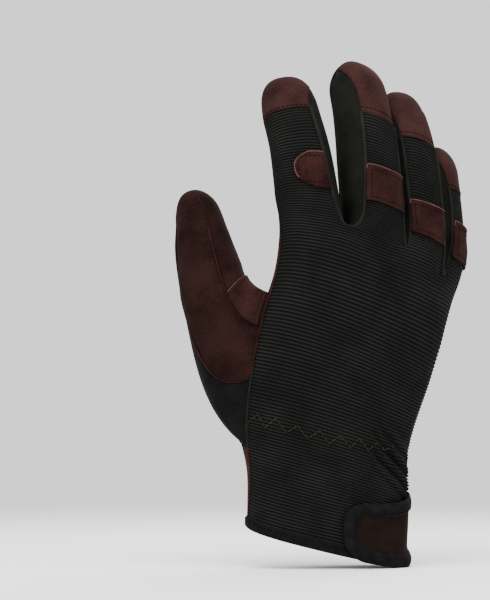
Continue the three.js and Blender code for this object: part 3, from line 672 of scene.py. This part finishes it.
def bent_rows(x, l):
    """Heights of rows that sink towards the little finger, straight at the cuff and the crotches."""
    start, height = BEND_FADES
    share = smooth_step((l - PANEL_FOOT) / BEND_GROWS) * (1 - smooth_step((l - start) / height))
    return l - BEND * (x - BEND_FROM) ** 2 * share


print("gathers every", GATHER_PITCH, "mm")

# %% Crotches and welded panels
CALM_LENGTH = 8
CALM_ROUNDS = 14
SUNK_FADE = 3.5
WELD_DISTANCE = 0.02


def calm_crotches(grids, rows_of, splits):
    """Sinks the cloth below each crotch to the level of the fingers beside it, and says how far."""
    sunk = []
    for gap, split in enumerate(splits):
        left, right = grids[gap], grids[gap + 1]
        shared = int(np.sum(rows_of[gap] <= split))
        weight = np.exp(-(((rows_of[gap][:shared] - split) / CALM_LENGTH) ** 2))[:, None]
        before = left[shared - 1, -1].copy()
        for _ in range(CALM_ROUNDS):
            seam = left[:shared, -1]
            seam = seam + weight * ((left[:shared, -2] + right[:shared, 1]) / 2 - seam) / 2
            left[:shared, -1] = right[:shared, 0] = seam
            left[:shared, -2] += weight * ((left[:shared, -3] + seam) / 2 - left[:shared, -2]) / 3
            right[:shared, 1] += weight * ((right[:shared, 2] + seam) / 2 - right[:shared, 1]) / 3
        sunk.append(left[shared - 1, -1] - before)
        for index, column in ((gap, -1), (gap + 1, 0)):
            fade = np.exp((split - rows_of[index][shared:]) / SUNK_FADE)[:, None]
            grids[index][shared:, column] += sunk[-1] * fade
    return sunk


def panel(name, grids, facing, thickness, material, node, ribs=None):
    """Four strips welded into one sheet, with its thickness set inwards."""
    faces, start = [], 0
    for grid in grids:
        rows, cols, _ = grid.shape
        faces.append(grid_faces(rows, cols, start, facing))
        start += rows * cols
    points = np.concatenate([grid.reshape(-1, 3) for grid in grids])
    made = new_object(name, points, np.concatenate(faces), material)
    # the rib attribute carries the painted shade of the grooves and of the gathers' valleys
    if ribs:
        height = made.data.attributes.new("rib", "FLOAT", "POINT")
        height.data.foreach_set("value", np.concatenate([rib.ravel() for rib in ribs]))
    weld = made.modifiers.new("join the strips", "WELD")
    weld.merge_threshold = WELD_DISTANCE * MM
    wall = made.modifiers.new("thickness", "SOLIDIFY")
    wall.thickness = thickness * MM
    wall.offset = -1
    bpy.context.view_layer.update()
    ready = made.evaluated_get(bpy.context.evaluated_depsgraph_get())
    made.data = bpy.data.meshes.new_from_object(ready)
    made.modifiers.clear()
    return hand_in(made, node)


# %% Rows, ribs and gathers of the back
BACK_SPLITS = [crotch["l"] for crotch in CROTCHES]
back_rows, back_grids, groove_shade_masks, lifts = [], [], [], []
shared_rows = rib_rows(PANEL_FOOT, CROTCHES[0]["l"] + 1)
for i, finger in enumerate(FINGERS):
    top = finger["cap"] - SEAM
    rows = np.concatenate([shared_rows, rib_rows(CROTCHES[0]["l"] + 1.3, top)])
    grid, sides, l = strip_grid(back_point, i, rows, BACK_SPLITS)
    bent = bent_rows(grid[..., 0], l)
    rib = 1 - np.abs(np.cos(np.pi * rib_count(l))) ** 3
    folds = gathers(i + sides, bent)
    back_rows.append(rows)
    back_grids.append(back_point(i, sides, bent))
    # painted shade: the colour darkens in the rib grooves and in the valleys of the gathers
    groove_shade_masks.append(rib**2 * np.clip(1 + 0.7 * folds, 0.15, 1.25))
    lifts.append(RIB_HEIGHT * (rib - 1) + folds)
crotch_sunk = calm_crotches(back_grids, back_rows, BACK_SPLITS)
back_grids = [raised(grid, 1, lift[..., None]) for grid, lift in zip(back_grids, lifts)]
join_strips(back_grids, back_rows, BACK_SPLITS)
back = panel("back", back_grids, 1, CLOTH, RIB, "back_panel", groove_shade_masks)
print("back:", len(shared_rows), "rows on the hand,", len(back.data.polygons), "faces")

# %% [markdown]
# ## The suede palm
#
# The palm piece has the four finger fronts and the D-shaped hole that the thumb is sewn into.
# Suede creases where the hand bends. Soft grooves pressed into the grid give the creases across the
# finger joints, and low uneven swells keep the leather from looking moulded.

# %% Palm panel
CREASE_DEPTH = 0.55
CREASE_WIDTH = 0.9
CREASES = (-2.2, 0.8, 3.4)  # places of a joint's three creases
FINGER_JOINTS = [0.28, 0.62]  # share of the finger's length above the crotch
FINGERS_FROM = 149  # height where the palm's rows part


def finger_creases(index, l):
    base = CROTCHES[min(index, 2)]["l"] + PALM_RISE
    length = FINGERS[index]["tip"] - base
    depth = np.zeros_like(l)
    for share in FINGER_JOINTS:
        for apart in CREASES:
            depth = depth + np.exp(-(((l - base - share * length - apart) / CREASE_WIDTH) ** 2))
    return -CREASE_DEPTH * depth * (l > base)


def rows_to_tip(finger, low, straight, rounded):
    """Heights up a finger, closer and closer together over its rounded tip."""
    turn = np.linspace(0, np.pi / 2 - 0.03, rounded)
    return np.concatenate([
        np.linspace(low, finger["dome"] - 0.6, straight), finger["dome"] + DOME * np.sin(turn),
    ])


PALM_SPLITS = [crotch["l"] + PALM_RISE for crotch in CROTCHES]
hole_rows = HOLE["middle"] + HOLE["half"] * np.sin(np.linspace(-np.pi / 2, np.pi / 2, 61))
low_rows = np.concatenate([
    np.linspace(PANEL_FOOT, hole_rows[0] - 0.4, 38), hole_rows,
    np.linspace(hole_rows[-1] + 0.4, FINGERS_FROM, 46),
])
palm_rows, palm_grids = [], []
for i, finger in enumerate(FINGERS):
    rows = np.concatenate([low_rows, rows_to_tip(finger, FINGERS_FROM + 0.8, 80, 16)])
    grid, sides, l = strip_grid(palm_point, i, rows, PALM_SPLITS)
    palm_rows.append(rows)
    palm_grids.append(raised(grid, -1, finger_creases(i, l)[..., None] + swells(grid, 17, 0.5)))
join_strips(palm_grids, palm_rows, PALM_SPLITS)
palm = panel("palm", palm_grids, -1, SUEDE_THICK, SUEDE, "palm_panel")
print("palm:", len(palm.data.polygons), "faces")

# %% [markdown]
# ## Leather fingertips and knuckle patches
#
# Each fingertip is a suede cap sewn to the end of the ribbed strip. The knuckle patches are single
# layers laid on top of the ribs, so their light cut edge shows. A thin cord along the top edge and
# part of one side stands for it, where the photograph shows it brightest: its light colour is partly
# the cut leather and partly a painted highlight on the edges that face the light.

# %% Cords and stitches
STITCH_STEP = 0.25  # a stitch has a point on every second step
FINE_THREAD = 0.2  # radii of the threads
COARSE_THREAD = 0.22
OVERLAY_GAP = 0.25
OVERLAY_TOP = OVERLAY_GAP + 1.1


def swept(paths, radius, sides=6):
    """Round cords along lists of points, as one mesh."""
    points, faces, start = [], [], 0
    ring = np.linspace(0, 2 * np.pi, sides, endpoint=False)
    for path in paths:
        path = np.asarray(path)
        tangent = unit(np.gradient(path, axis=0))
        side = unit(np.cross(tangent, np.array([0.31, 0.87, 0.38])))
        up = np.cross(side, tangent)
        circle = np.cos(ring)[None, :, None] * side[:, None] + np.sin(ring)[None, :, None] * up[:, None]
        points.append((path[:, None] + radius * circle).reshape(-1, 3))
        rows = len(path)
        faces += grid_faces(rows, sides, start, ring_cols=1).tolist()
        faces.append([start + k for k in range(sides)][::-1])
        faces.append([start + (rows - 1) * sides + k for k in range(sides)])
        start += rows * sides
    return np.concatenate(points), faces


def cord(name, paths, radius, material, sides=6):
    return hand_in(new_object(name, *swept(paths, radius, sides), material))


def along_line(points, step):
    """Points at even distances along a line of points."""
    points = np.asarray(points)
    far = np.concatenate([[0], np.cumsum(np.linalg.norm(np.diff(points, axis=0), axis=1))])
    at = np.arange(0, far[-1], step)
    return np.stack([np.interp(at, far, points[:, k]) for k in range(3)], -1)


def thread(name, lines, length, gap, radius, material, sides=5):
    """Rows of stitches along lines, each a short cord. It gives back their number."""
    on, off = int(length / STITCH_STEP), int(gap / STITCH_STEP)
    stitches = []
    for line in lines:
        fine = along_line(line, STITCH_STEP)
        stitches += [fine[s:s + on + 1:2] for s in range(0, len(fine) - on, on + off)]
    cord(name, stitches, radius, material, sides)
    return len(stitches)


def overlay(name, grid, facing, node):
    """A suede patch sewn on top of a surface. It gives back the patch's upper face."""
    sheet(name, grid, OVERLAY_GAP, OVERLAY_TOP, facing, PATCH, node)
    return raised(grid, facing, OVERLAY_TOP)


# %% Fingertips and knuckle patches
PATCH_SIDE = 0.03
INDEX_PATCH_FROM = 0.56  # the index patch covers only part of the finger's width
EDGE_STEP = 0.6
edge_lines, patch_lines, tip_lines = [], [], []
for i, finger in enumerate(FINGERS):
    rows = rows_to_tip(finger, finger["cap"] + SEAM, 14, 18)
    side, l = np.meshgrid(np.linspace(SEAM / FINGER_WIDTH, 1 - SEAM / FINGER_WIDTH, 25), rows)
    grid = back_point(i, side, l)
    grid = raised(grid, 1, swells(grid, 9, 0.35) + 0.15)
    name = finger["name"]
    sheet(f"tip_{name}", grid, -SUEDE_THICK, 0, 1, SUEDE, f"fingertip_{name}")
    tip_lines.append(raised(grid, 1, 0.1)[2])

    low, high = np.array(finger["patch"]) + finger["shift"]
    u, v = np.meshgrid(np.linspace(0, 1, 29), np.linspace(0, 1, 25))
    edge = np.abs(2 * v - 1)
    start = INDEX_PATCH_FROM + 0.2 * edge**2.8 if i == 0 else PATCH_SIDE + 0.012 * edge**6
    grid = back_point(i, mix(start, 1 - PATCH_SIDE, u), mix(low, high, v))
    grid = raised(grid, 1, swells(grid, 5, 0.2))
    top = overlay(f"patch_{name}", grid, 1, f"knuckle_patch_{name}")
    # the cord runs only along the upper, lit edges, so it is a painted highlight
    highlight_from = 6 if i == 0 else 21
    edge_lines.append(along_line(np.concatenate([top[highlight_from:, 0], top[-1]]), EDGE_STEP))
    inner = top[3:-3, 3:-3]
    patch_lines.append(np.concatenate([inner[0], inner[:, -1], inner[-1, ::-1], inner[::-1, 0]]))
cord("patch_edge_highlights", edge_lines, 0.28, CUT_EDGE_HIGHLIGHT)
on_patches = thread("patch_stitches", patch_lines, 1.7, 0.9, FINE_THREAD, DARK_THREAD)
on_caps = thread("tip_stitches", tip_lines, 1.7, 0.8, FINE_THREAD, DARK_THREAD)
print(on_patches, "stitches on the patches,", on_caps, "on the caps")

# %% [markdown]
# ## Side strips
#
# Between two fingers the glove needs depth, and a strip of smooth stretch cloth gives it. One strip
# serves two fingers. It is drawn from one fingertip to the next, with more points near the crotch,
# where it turns sharply.

# %% Fourchettes
away = 1 - (1 - np.linspace(0, 1, 60)) ** 0.75
along = np.concatenate([-away[::-1], away[1:]])
for gap, name in enumerate(["index_middle", "middle_ring", "ring_little"]):
    across, far = np.meshgrid(np.linspace(0, 1, 13), np.sign(along) * np.abs(along) ** 1.4)
    near_crotch = np.exp(-((far / 0.03) ** 2)) * (1 - across)
    grid = strip_point(gap, across, far) + crotch_sunk[gap] * near_crotch[..., None]
    node = f"fourchette_{name}"
    sheet(f"side_strip_{name}", grid, -CLOTH, 0, -1, STRETCH, node)
print("three side strips,", grid.shape[0], "rows of points in each")

# %% [markdown]
# ## Rolled seams
#
# Where two pieces are sewn together inside out and turned, the seam rolls up into a low ridge. Along the
# fingers these ridges outline every strip, so they matter as much as the colours. A thin round cord,
# half sunk along each edge, gives the ridge. It runs down one finger, round the crotch and up the next.

# %% Seams along the fingers
EDGE_SIDES = np.array([[0.0, 0.03, 0.06]])
PIPING = 0.95
PIPING_LIFT = 0.15
STRIP_REACH = (42, 78)  # heights between which the black thumb strip meets the back
SEAM_FOOT = 5.6
TIP_REST = 0.2  # how far below the tip the seams end
SMOOTH_ROUNDS = 6


def edge_line(surface, index, last, low, high, facing, lift=0):
    """The first or last edge of a finger's strip, lift millimetres above the surface."""
    l = np.linspace(low, high, 130)[:, None]
    sides = 1 - EDGE_SIDES[:, ::-1] if last else EDGE_SIDES
    return raised(surface(index, sides, l), facing, lift)[:, -1 if last else 0]


black_seams, brown_seams, palm_seams = [], [], []
for gap, crotch in enumerate(CROTCHES):
    low = crotch["l"] + 0.3
    backs, fronts = [], []
    for index, last in ((gap, True), (gap + 1, False)):
        finger = FINGERS[index]
        cap, top = finger["cap"], finger["tip"] - TIP_REST
        line = edge_line(back_point, index, last, low, cap, 1, PIPING_LIFT)
        fade = np.exp(np.linspace(0, low - cap, len(line)) / SUNK_FADE)
        backs.append(line + crotch_sunk[gap] * fade[:, None])
        brown_seams.append(edge_line(back_point, index, last, cap, top, 1))
        fronts.append(edge_line(palm_point, index, last, low + PALM_RISE, top, -1))
    round_crotch = along_line(np.concatenate([backs[0][::-1], backs[1]]), EDGE_STEP)
    for _ in range(SMOOTH_ROUNDS):
        round_crotch[1:-1] = (round_crotch[:-2] + 2 * round_crotch[1:-1] + round_crotch[2:]) / 4
    black_seams.append(round_crotch)
    palm_seams.append(np.concatenate([fronts[0][::-1], fronts[1]]))
index_top, little_top = FINGERS[0]["tip"] - TIP_REST, FINGERS[3]["tip"] - TIP_REST
brown_seams.append(edge_line(back_point, 0, False, SEAM_FOOT, STRIP_REACH[0], 1))
brown_seams.append(edge_line(back_point, 0, False, STRIP_REACH[1], index_top, 1))
brown_seams.append(edge_line(back_point, 3, True, SEAM_FOOT, little_top, 1))
black_edge = edge_line(back_point, 0, False, *STRIP_REACH, 1)
# the piping's lighter colour is a painted highlight on the ridges
cord("finger_back_seams", black_seams, PIPING, PIPE, 8)
cord("cap_and_side_seams", brown_seams, 0.36, PATCH)
cord("finger_front_seams", palm_seams, 0.45, PATCH)
cord("strip_side_seam", [black_edge], 0.36, PIPE)
print(len(black_seams) + len(brown_seams) + len(palm_seams), "rolled seams")

# %% [markdown]
# ## Thumb
#
# The thumb is a back of suede, a palm of suede, and a black strip between them on the outer side
# that comes round to the front at the root. All three are bands of one tube, so their seams
# always meet. The seam that joins the thumb to the palm is a raised rolled edge.

# %% Thumb pieces
THUMB_SEAM = dict(root=35, thumb=16)  # between the back and the palm leather
OUTER_SEAM = dict(root=210, thumb=210)  # between the palm leather and the black strip
STRIP_SEAM = dict(root=-2, thumb=-80)  # between the strip and the back leather
SEAM_TURN = 1.3
THUMB_RADIUS = 14


def thumb_seam(seam, far):
    """The angle of a seam, which turns from its place at the root to its place on the thumb."""
    return mix(seam["thumb"], seam["root"], np.maximum(0, 1 - far / THUMB_ROOT) ** SEAM_TURN)


def thumb_band(start, end, turned):
    tip_part = 0.84 + 0.1595 * np.sin(np.linspace(0, np.pi / 2, 26))
    rows = np.concatenate([np.linspace(0.006, 0.83, 70), tip_part])
    side, far = np.meshgrid(np.linspace(0, 1, 27), rows)
    radius = np.maximum(1, THUMB_RADIUS * np.sqrt(np.maximum(0.004, 1 - far**8)))
    inset = np.degrees(SEAM / radius)
    first = thumb_seam(start, far) + inset
    last = thumb_seam(end, far) + turned - inset
    return thumb_point(mix(first, last, side), far)


# the thumb's two leather bands take the darker suede, which is painted shade
thumb_parts = [
    ("thumb_back", STRIP_SEAM, THUMB_SEAM, 0, SHADED_THUMB_SUEDE, "suede"),
    ("thumb_palm", THUMB_SEAM, OUTER_SEAM, 0, SHADED_THUMB_SUEDE, "suede"),
    ("thumb_side_strip", OUTER_SEAM, STRIP_SEAM, 360, THUMB_CLOTH, "stretch_fabric"),
]
for name, start, end, turned, material, slot in thumb_parts:
    grid = thumb_band(start, end, turned)
    if material is SHADED_THUMB_SUEDE:
        grid = raised(grid, 1, swells(grid, 14, 0.6))
    sheet(name + "_skin", grid, -SUEDE_THICK, 0, 1, material, name)
print("thumb:", len(thumb_parts), "bands")

# %% Crotch patch and thumb seams
TONGUE = dict(middle=0.205, reach=0.175, top=92, end=150)  # shares of the thumb, angles round it
side, up = np.meshgrid(np.linspace(0, 1, 37), np.linspace(-1, 1, 29))
far = TONGUE["middle"] + TONGUE["reach"] * up
turn = mix(thumb_seam(THUMB_SEAM, far) + 1.5, TONGUE["end"], side)
past_top = np.clip((turn - TONGUE["top"]) / (TONGUE["end"] + 3 - TONGUE["top"]), 0, 1)
far = TONGUE["middle"] + TONGUE["reach"] * up * np.sqrt(1 - past_top**2)
tongue = thumb_point(turn, far)
top = overlay("crotch_patch", tongue, 1, "thumb_crotch_patch")
tongue_lines = [top[3, 3:-3], top[-4, 3:-3], top[3:-3, -4]]
sewn = thread("crotch_patch_stitches", tongue_lines, 2.0, 0.9, FINE_THREAD, DARK_THREAD)
# painted highlight along the crotch patch's upper cut edge
cord("crotch_patch_edge_highlight", [along_line(top[-1], EDGE_STEP)], 0.22, CUT_EDGE_HIGHLIGHT)


def thumb_seam_line(seam, high, lift):
    """The line of a seam up the thumb, lift millimetres above the surface."""
    far = np.linspace(0.012, high, 120)[:, None]
    turn = thumb_seam(seam, far) + np.array([[-3.0, 0.0, 3.0]])
    return raised(thumb_point(turn, far), 1, lift)[:, 1]


cord("thumb_leather_seam", [thumb_seam_line(THUMB_SEAM, 0.985, 0.1)], 0.5, PATCH)
strip_lines = [thumb_seam_line(seam, 0.98, 0) for seam in (OUTER_SEAM, STRIP_SEAM)]
cord("thumb_strip_seams", strip_lines, 0.42, PATCH)
print("crotch patch:", sewn, "stitches")

# %% [markdown]
# ## Palm patch, seams and stitches
#
# A second layer of suede lies across the palm where tools rub. The thumb is set in with a rolled seam,
# which is a cord along the rim of the hole. Two rows of stitches hold the patch's upper edge.

# %% Palm patch and seams
SECOND_LAYER = dict(middle=102.5, half=28.5, first=0.4, last=0.8)  # heights, and shares of the end strips
RIM = 0.004  # how far up the thumb its seam lies
steps = np.sin(np.linspace(-np.pi / 2, np.pi / 2, 70))
patch_rows = SECOND_LAYER["middle"] + SECOND_LAYER["half"] * steps
patch_strips = []
for i in range(4):
    first, last = SECOND_LAYER["first"] if i == 0 else 0, SECOND_LAYER["last"] if i == 3 else 1
    side, l = np.meshgrid(np.linspace(first, last, 17), patch_rows)
    patch_strips.append(palm_point(i, side, l)[:, :None if i == 3 else -1])
whole = np.concatenate(patch_strips, 1)
whole = raised(whole, -1, swells(whole, 17, 0.5))
top = overlay("palm_second_layer", whole, -1, "palm_patch")
leather_rim = thumb_point(np.linspace(STRIP_SEAM["root"], OUTER_SEAM["root"], 150), RIM)
strip_rim = thumb_point(np.linspace(OUTER_SEAM["root"], 360 + STRIP_SEAM["root"], 110), RIM)
cord("thumb_seam_roll", [leather_rim], 0.55, PATCH)
cord("thumb_strip_roll", [strip_rim], 0.5, PIPE)
rows = [top[-5], top[-14], top[5], top[4:-4, 3], top[4:-4, 8]]
sewn = thread("palm_patch_stitches", rows, 2.0, 1.0, COARSE_THREAD, LIGHT_THREAD)
print(sewn, "stitches on the palm patch")

# %% [markdown]
# ## Cuff tape, wrist tab and the elastic seam
#
# Tape folded over the raw edge finishes the cuff. It is a rounded section carried once round the
# opening. The tab lies over the back of the cuff, with its own tape round three sides. Above the cuff
# a zigzag of light brown thread holds an elastic under the cloth, and it is modelled stitch by
# stitch, riding on top of the ribs.

# %% Cuff tape
TAPE_HEIGHT = 5
TAPE_IN = -2.2
TAPE_OUT = 1
TAPE_ROUND = 1.1
STITCH_HEIGHT = 3.9


def rounded_section(low, high, top, radius):
    """The tape's section from low to high out of the hand and up to top, with round corners."""
    left, right, upper = low + radius, high - radius, top - radius
    section = []
    for out, up, start in ((left, radius, 180), (right, radius, 270), (right, upper, 0), (left, upper, 90)):
        for turn in np.radians(np.linspace(start, start + 90, 5)):
            section.append((out + radius * np.cos(turn), up + radius * np.sin(turn)))
    return np.array(section)


section = rounded_section(TAPE_IN, TAPE_OUT, TAPE_HEIGHT, TAPE_ROUND)
turns = np.linspace(0, 360, 241)[:-1]
around, out = np.meshgrid(turns, section[:, 0], indexing="ij")
up = np.broadcast_to(section[:, 1], around.shape)
wave = 0.12 * np.sin(np.radians(around) * 37) * (out > 0)
tape_points = hand_point(around, up, out + wave).reshape(-1, 3)
tape_faces = grid_faces(len(turns), len(section), ring_rows=1, ring_cols=1)[:, FLIPPED]
hand_in(new_object("cuff_tape", tape_points, tape_faces, TAPE), "cuff_binding")
tape_line = hand_point(np.linspace(0, 360, 400), STITCH_HEIGHT, TAPE_OUT + 0.05)
thread("cuff_tape_stitches", [tape_line], 2.2, 1.0, COARSE_THREAD, BLACK_THREAD)
print("tape:", len(tape_points), "points")

# %% Wrist tab
TAB = dict(free=8, sewn=96, length=56, low=0.4, high=25, high_sewn=35, corner=9)
TAB_DEEP = TAB["high"] - TAB["low"]
TAB_OVER_TAPE = 1.35
TAB_OVER_CLOTH = 0.45
TAB_SEWN_AT = -0.9
TAB_RIM = 4.4
TAB_TAPE = dict(thick=1.7, bulge=0.9)
TAB_TUCK = 0.6  # how far the leather reaches under its tape
STITCH_INSET = 1.1  # from the tape's inner edge
STITCHES_OVER_TAB = 2.4


def tab_at(p, q, off=0.0):
    """A point of the tab, which steps down from the cuff tape to the cloth and in to its seam."""
    grow = mix(TAB["high"], TAB["high_sewn"], p / TAB["length"]) - TAB["low"]
    height = TAB["low"] + q / TAB_DEEP * grow
    lift = mix(TAB_OVER_TAPE, TAB_OVER_CLOTH, smooth_step((height - TAPE_HEIGHT - 0.5) / 4))
    near_seam = smooth_step((p - TAB["length"] + 5) / 5) * smooth_step((height - TAPE_HEIGHT) / 3)
    lift = mix(lift, TAB_SEWN_AT, near_seam)
    return hand_point(mix(TAB["free"], TAB["sewn"], p / TAB["length"]), height, off + lift)


def tab_outline(inward):
    """The tab's edge, inward millimetres in: under, round the free end and back over."""
    corner_r, length = TAB["corner"], TAB["length"]
    radius = corner_r - inward
    turn = np.linspace(0, np.pi / 2, 14)[1:]
    upper = TAB_DEEP - corner_r
    under = [(p, inward) for p in np.linspace(length, corner_r, 40)]
    first = [(corner_r - radius * math.sin(t), corner_r - radius * math.cos(t)) for t in turn]
    side = [(inward, q) for q in np.linspace(corner_r, upper, 12)[1:]]
    second = [(corner_r - radius * math.cos(t), upper + radius * math.sin(t)) for t in turn]
    over = [(p, TAB_DEEP - inward) for p in np.linspace(corner_r, length, 40)[1:]]
    return np.array(under + first + side + second + over).T


tab_rings = []
for inward in np.linspace(0, TAB_RIM, 9):
    bulge = TAB_TAPE["bulge"] * math.sin(math.pi * inward / TAB_RIM)
    tab_rings.append(tab_at(*tab_outline(inward), bulge))
sheet("tab_tape", np.stack(tab_rings, 1), 0, TAB_TAPE["thick"], 1, TAPE, "tab_binding")
edge = TAB_RIM - TAB_TUCK
q = mix(edge, TAB_DEEP - edge, np.linspace(0, 1, 41))
radius = TAB["corner"] - edge
beyond = np.clip(radius - np.minimum(q - edge, TAB_DEEP - edge - q), 0, radius)
start = edge + radius - np.sqrt(radius**2 - beyond**2)
u, rows = np.meshgrid(np.linspace(0, 1, 45), np.arange(len(q)))
tab_grid = tab_at(mix(start[rows], TAB["length"], u), q[rows])
tab_grid = raised(tab_grid, 1, swells(tab_grid, 8, 0.25))
sheet("tab_leather", tab_grid, 0.1, SUEDE_THICK, 1, TAB_LEATHER, "wrist_tab")
tab_thread = tab_at(*tab_outline(TAB_RIM - STITCH_INSET), STITCHES_OVER_TAB)
thread("tab_stitches", [tab_thread], 2.0, 1.0, COARSE_THREAD, BLACK_THREAD)
print("tab:", len(tab_rings), "lines of points across its tape")

# %% Zigzag over the elastic
ZIGZAG = [
    (249, 421), (258, 413), (265, 426), (276, 417), (286, 431), (297, 424), (307, 437), (319, 429),
    (328, 442), (339, 434), (349, 446), (358, 437), (367, 449), (376, 441), (383, 449), (395, 443),
]
PIXEL = 0.487  # millimetres for each pixel of the photograph
CENTRE = (325, 545)  # the pixel at the cuff opening's centre
FRONT_ANGLES = (-88, 84)  # the part of the hand that shows from the front


def on_back(x, z):
    """Angle and height of the point of the back that is seen at x and z from the front."""
    angle, l = np.zeros(len(x)), z.copy()
    for _ in range(40):
        point = hand_point(angle, l)
        angle = np.clip(angle + (x - point[:, 0]) * 0.9, *FRONT_ANGLES)
        l += (z - point[:, 2]) * 0.9
    return angle, l


corners = np.array(ZIGZAG, float)
knots = np.stack([(corners[:, 0] - CENTRE[0]) * PIXEL, (CENTRE[1] - corners[:, 1]) * PIXEL], -1)
fine = np.concatenate([np.linspace(a, b, 12, endpoint=False) for a, b in zip(knots[:-1], knots[1:])])
zigzag = hand_point(*on_back(fine[:, 0], fine[:, 1]), 0.25)
thread("zigzag_elastic", [zigzag], 2.3, 0.5, COARSE_THREAD, BROWN_THREAD, 6)
print("zigzag from", np.round(zigzag[0]), "to", np.round(zigzag[-1]))

# %% [markdown]
# ## Studio
#
# The glove stands on its cuff on a round sheet of pale paper that fades out at its rim, so no edge
# of the floor shows from any side. The room is white, and four large soft lights keep the black
# cloth readable. The strongest is above, because the fingertips are the brightest places in the
# photograph. The others stand left, right and behind. A long lens far away keeps the proportions,
# because a near lens would make the fingers look thin.

# %% Floor
FLOOR_RADIUS = 700
FLOOR_GAP = 0.3  # below the lowest point of the glove
FADE_FROM, FADE_TO = 0.2, 0.95 * FLOOR_RADIUS * MM  # metres from the middle
floor_height = size_before[0][2] / MM - FLOOR_GAP
rings = np.linspace(0, FLOOR_RADIUS, 15)[1:]
spokes = np.radians(np.arange(0, 360, 7.5))
floor_points = [(0, 0, floor_height)]
floor_points += [(r * math.cos(t), r * math.sin(t), floor_height) for r in rings for t in spokes]
count = len(spokes)
floor_faces = [(0, 1 + k, 1 + (k + 1) % count) for k in range(count)]
floor_faces += grid_faces(len(rings), count, 1, ring_cols=1)[:, FLIPPED].tolist()
PALE = bpy.data.materials.new("pale_paper")
PALE.use_nodes = True
nodes, link = PALE.node_tree.nodes, PALE.node_tree.links.new
shader = set_inputs(nodes["Principled BSDF"], {"Base Color": (0.9, 0.9, 0.9, 1), "Roughness": 0.9})
place = nodes.new("ShaderNodeTexCoord")
distance = nodes.new("ShaderNodeVectorMath")
distance.operation = "LENGTH"
fade = nodes.new("ShaderNodeMapRange")
fade.interpolation_type = "SMOOTHSTEP"
set_inputs(fade, {"From Min": FADE_FROM, "From Max": FADE_TO, "To Min": 1, "To Max": 0})
link(place.outputs["Object"], distance.inputs[0])
link(distance.outputs["Value"], fade.inputs["Value"])
link(fade.outputs["Result"], shader.inputs["Alpha"])
new_object("paper_floor", floor_points, floor_faces, PALE)
print("floor at", round(floor_height, 2), "mm")

# %% Lights and room
LIT_PLACE = Vector((0, 0, 0.12))


def soft_light(name, place, size, power):
    data = bpy.data.lights.new(name, "AREA")
    data.shape = "SQUARE"
    data.size = size
    data.energy = power
    lamp = add_object(name, data)
    lamp.location = place
    lamp.rotation_euler = (LIT_PLACE - Vector(place)).to_track_quat("-Z", "Y").to_euler()


soft_light("key", (-0.6, -1.0, 0.9), size=0.8, power=9)
soft_light("fill", (0.9, -0.9, 0.4), size=0.9, power=4)
soft_light("top", (-0.15, -0.4, 1.25), size=0.8, power=20)
soft_light("back", (0.4, 1.1, 0.9), size=0.9, power=16)
world = bpy.data.worlds.new("white_room")
world.use_nodes = True
set_inputs(world.node_tree.nodes["Background"], {"Color": (1, 1, 1, 1), "Strength": 1.3})
bpy.context.scene.world = world
print("four lights and a white room")

# %% Camera
FRAME_WIDTH, FRAME_HEIGHT = 490, 600
LENS, SENSOR = 250, 36
GLOVE_MIDDLE = 0.005  # metres behind the cuff's centre
centre_x = (FRAME_WIDTH / 2 - CENTRE[0]) * PIXEL * MM
centre_z = (CENTRE[1] - FRAME_HEIGHT / 2) * PIXEL * MM
distance = LENS / SENSOR * FRAME_HEIGHT * PIXEL * MM
camera = bpy.data.cameras.new("camera")
camera.lens = LENS
eye = add_object("camera", camera)
eye.location = (centre_x, -distance + GLOVE_MIDDLE, centre_z)
eye.rotation_euler = (math.pi / 2, 0, 0)
bpy.context.scene.camera = eye
print("camera", round(distance, 2), "m away")
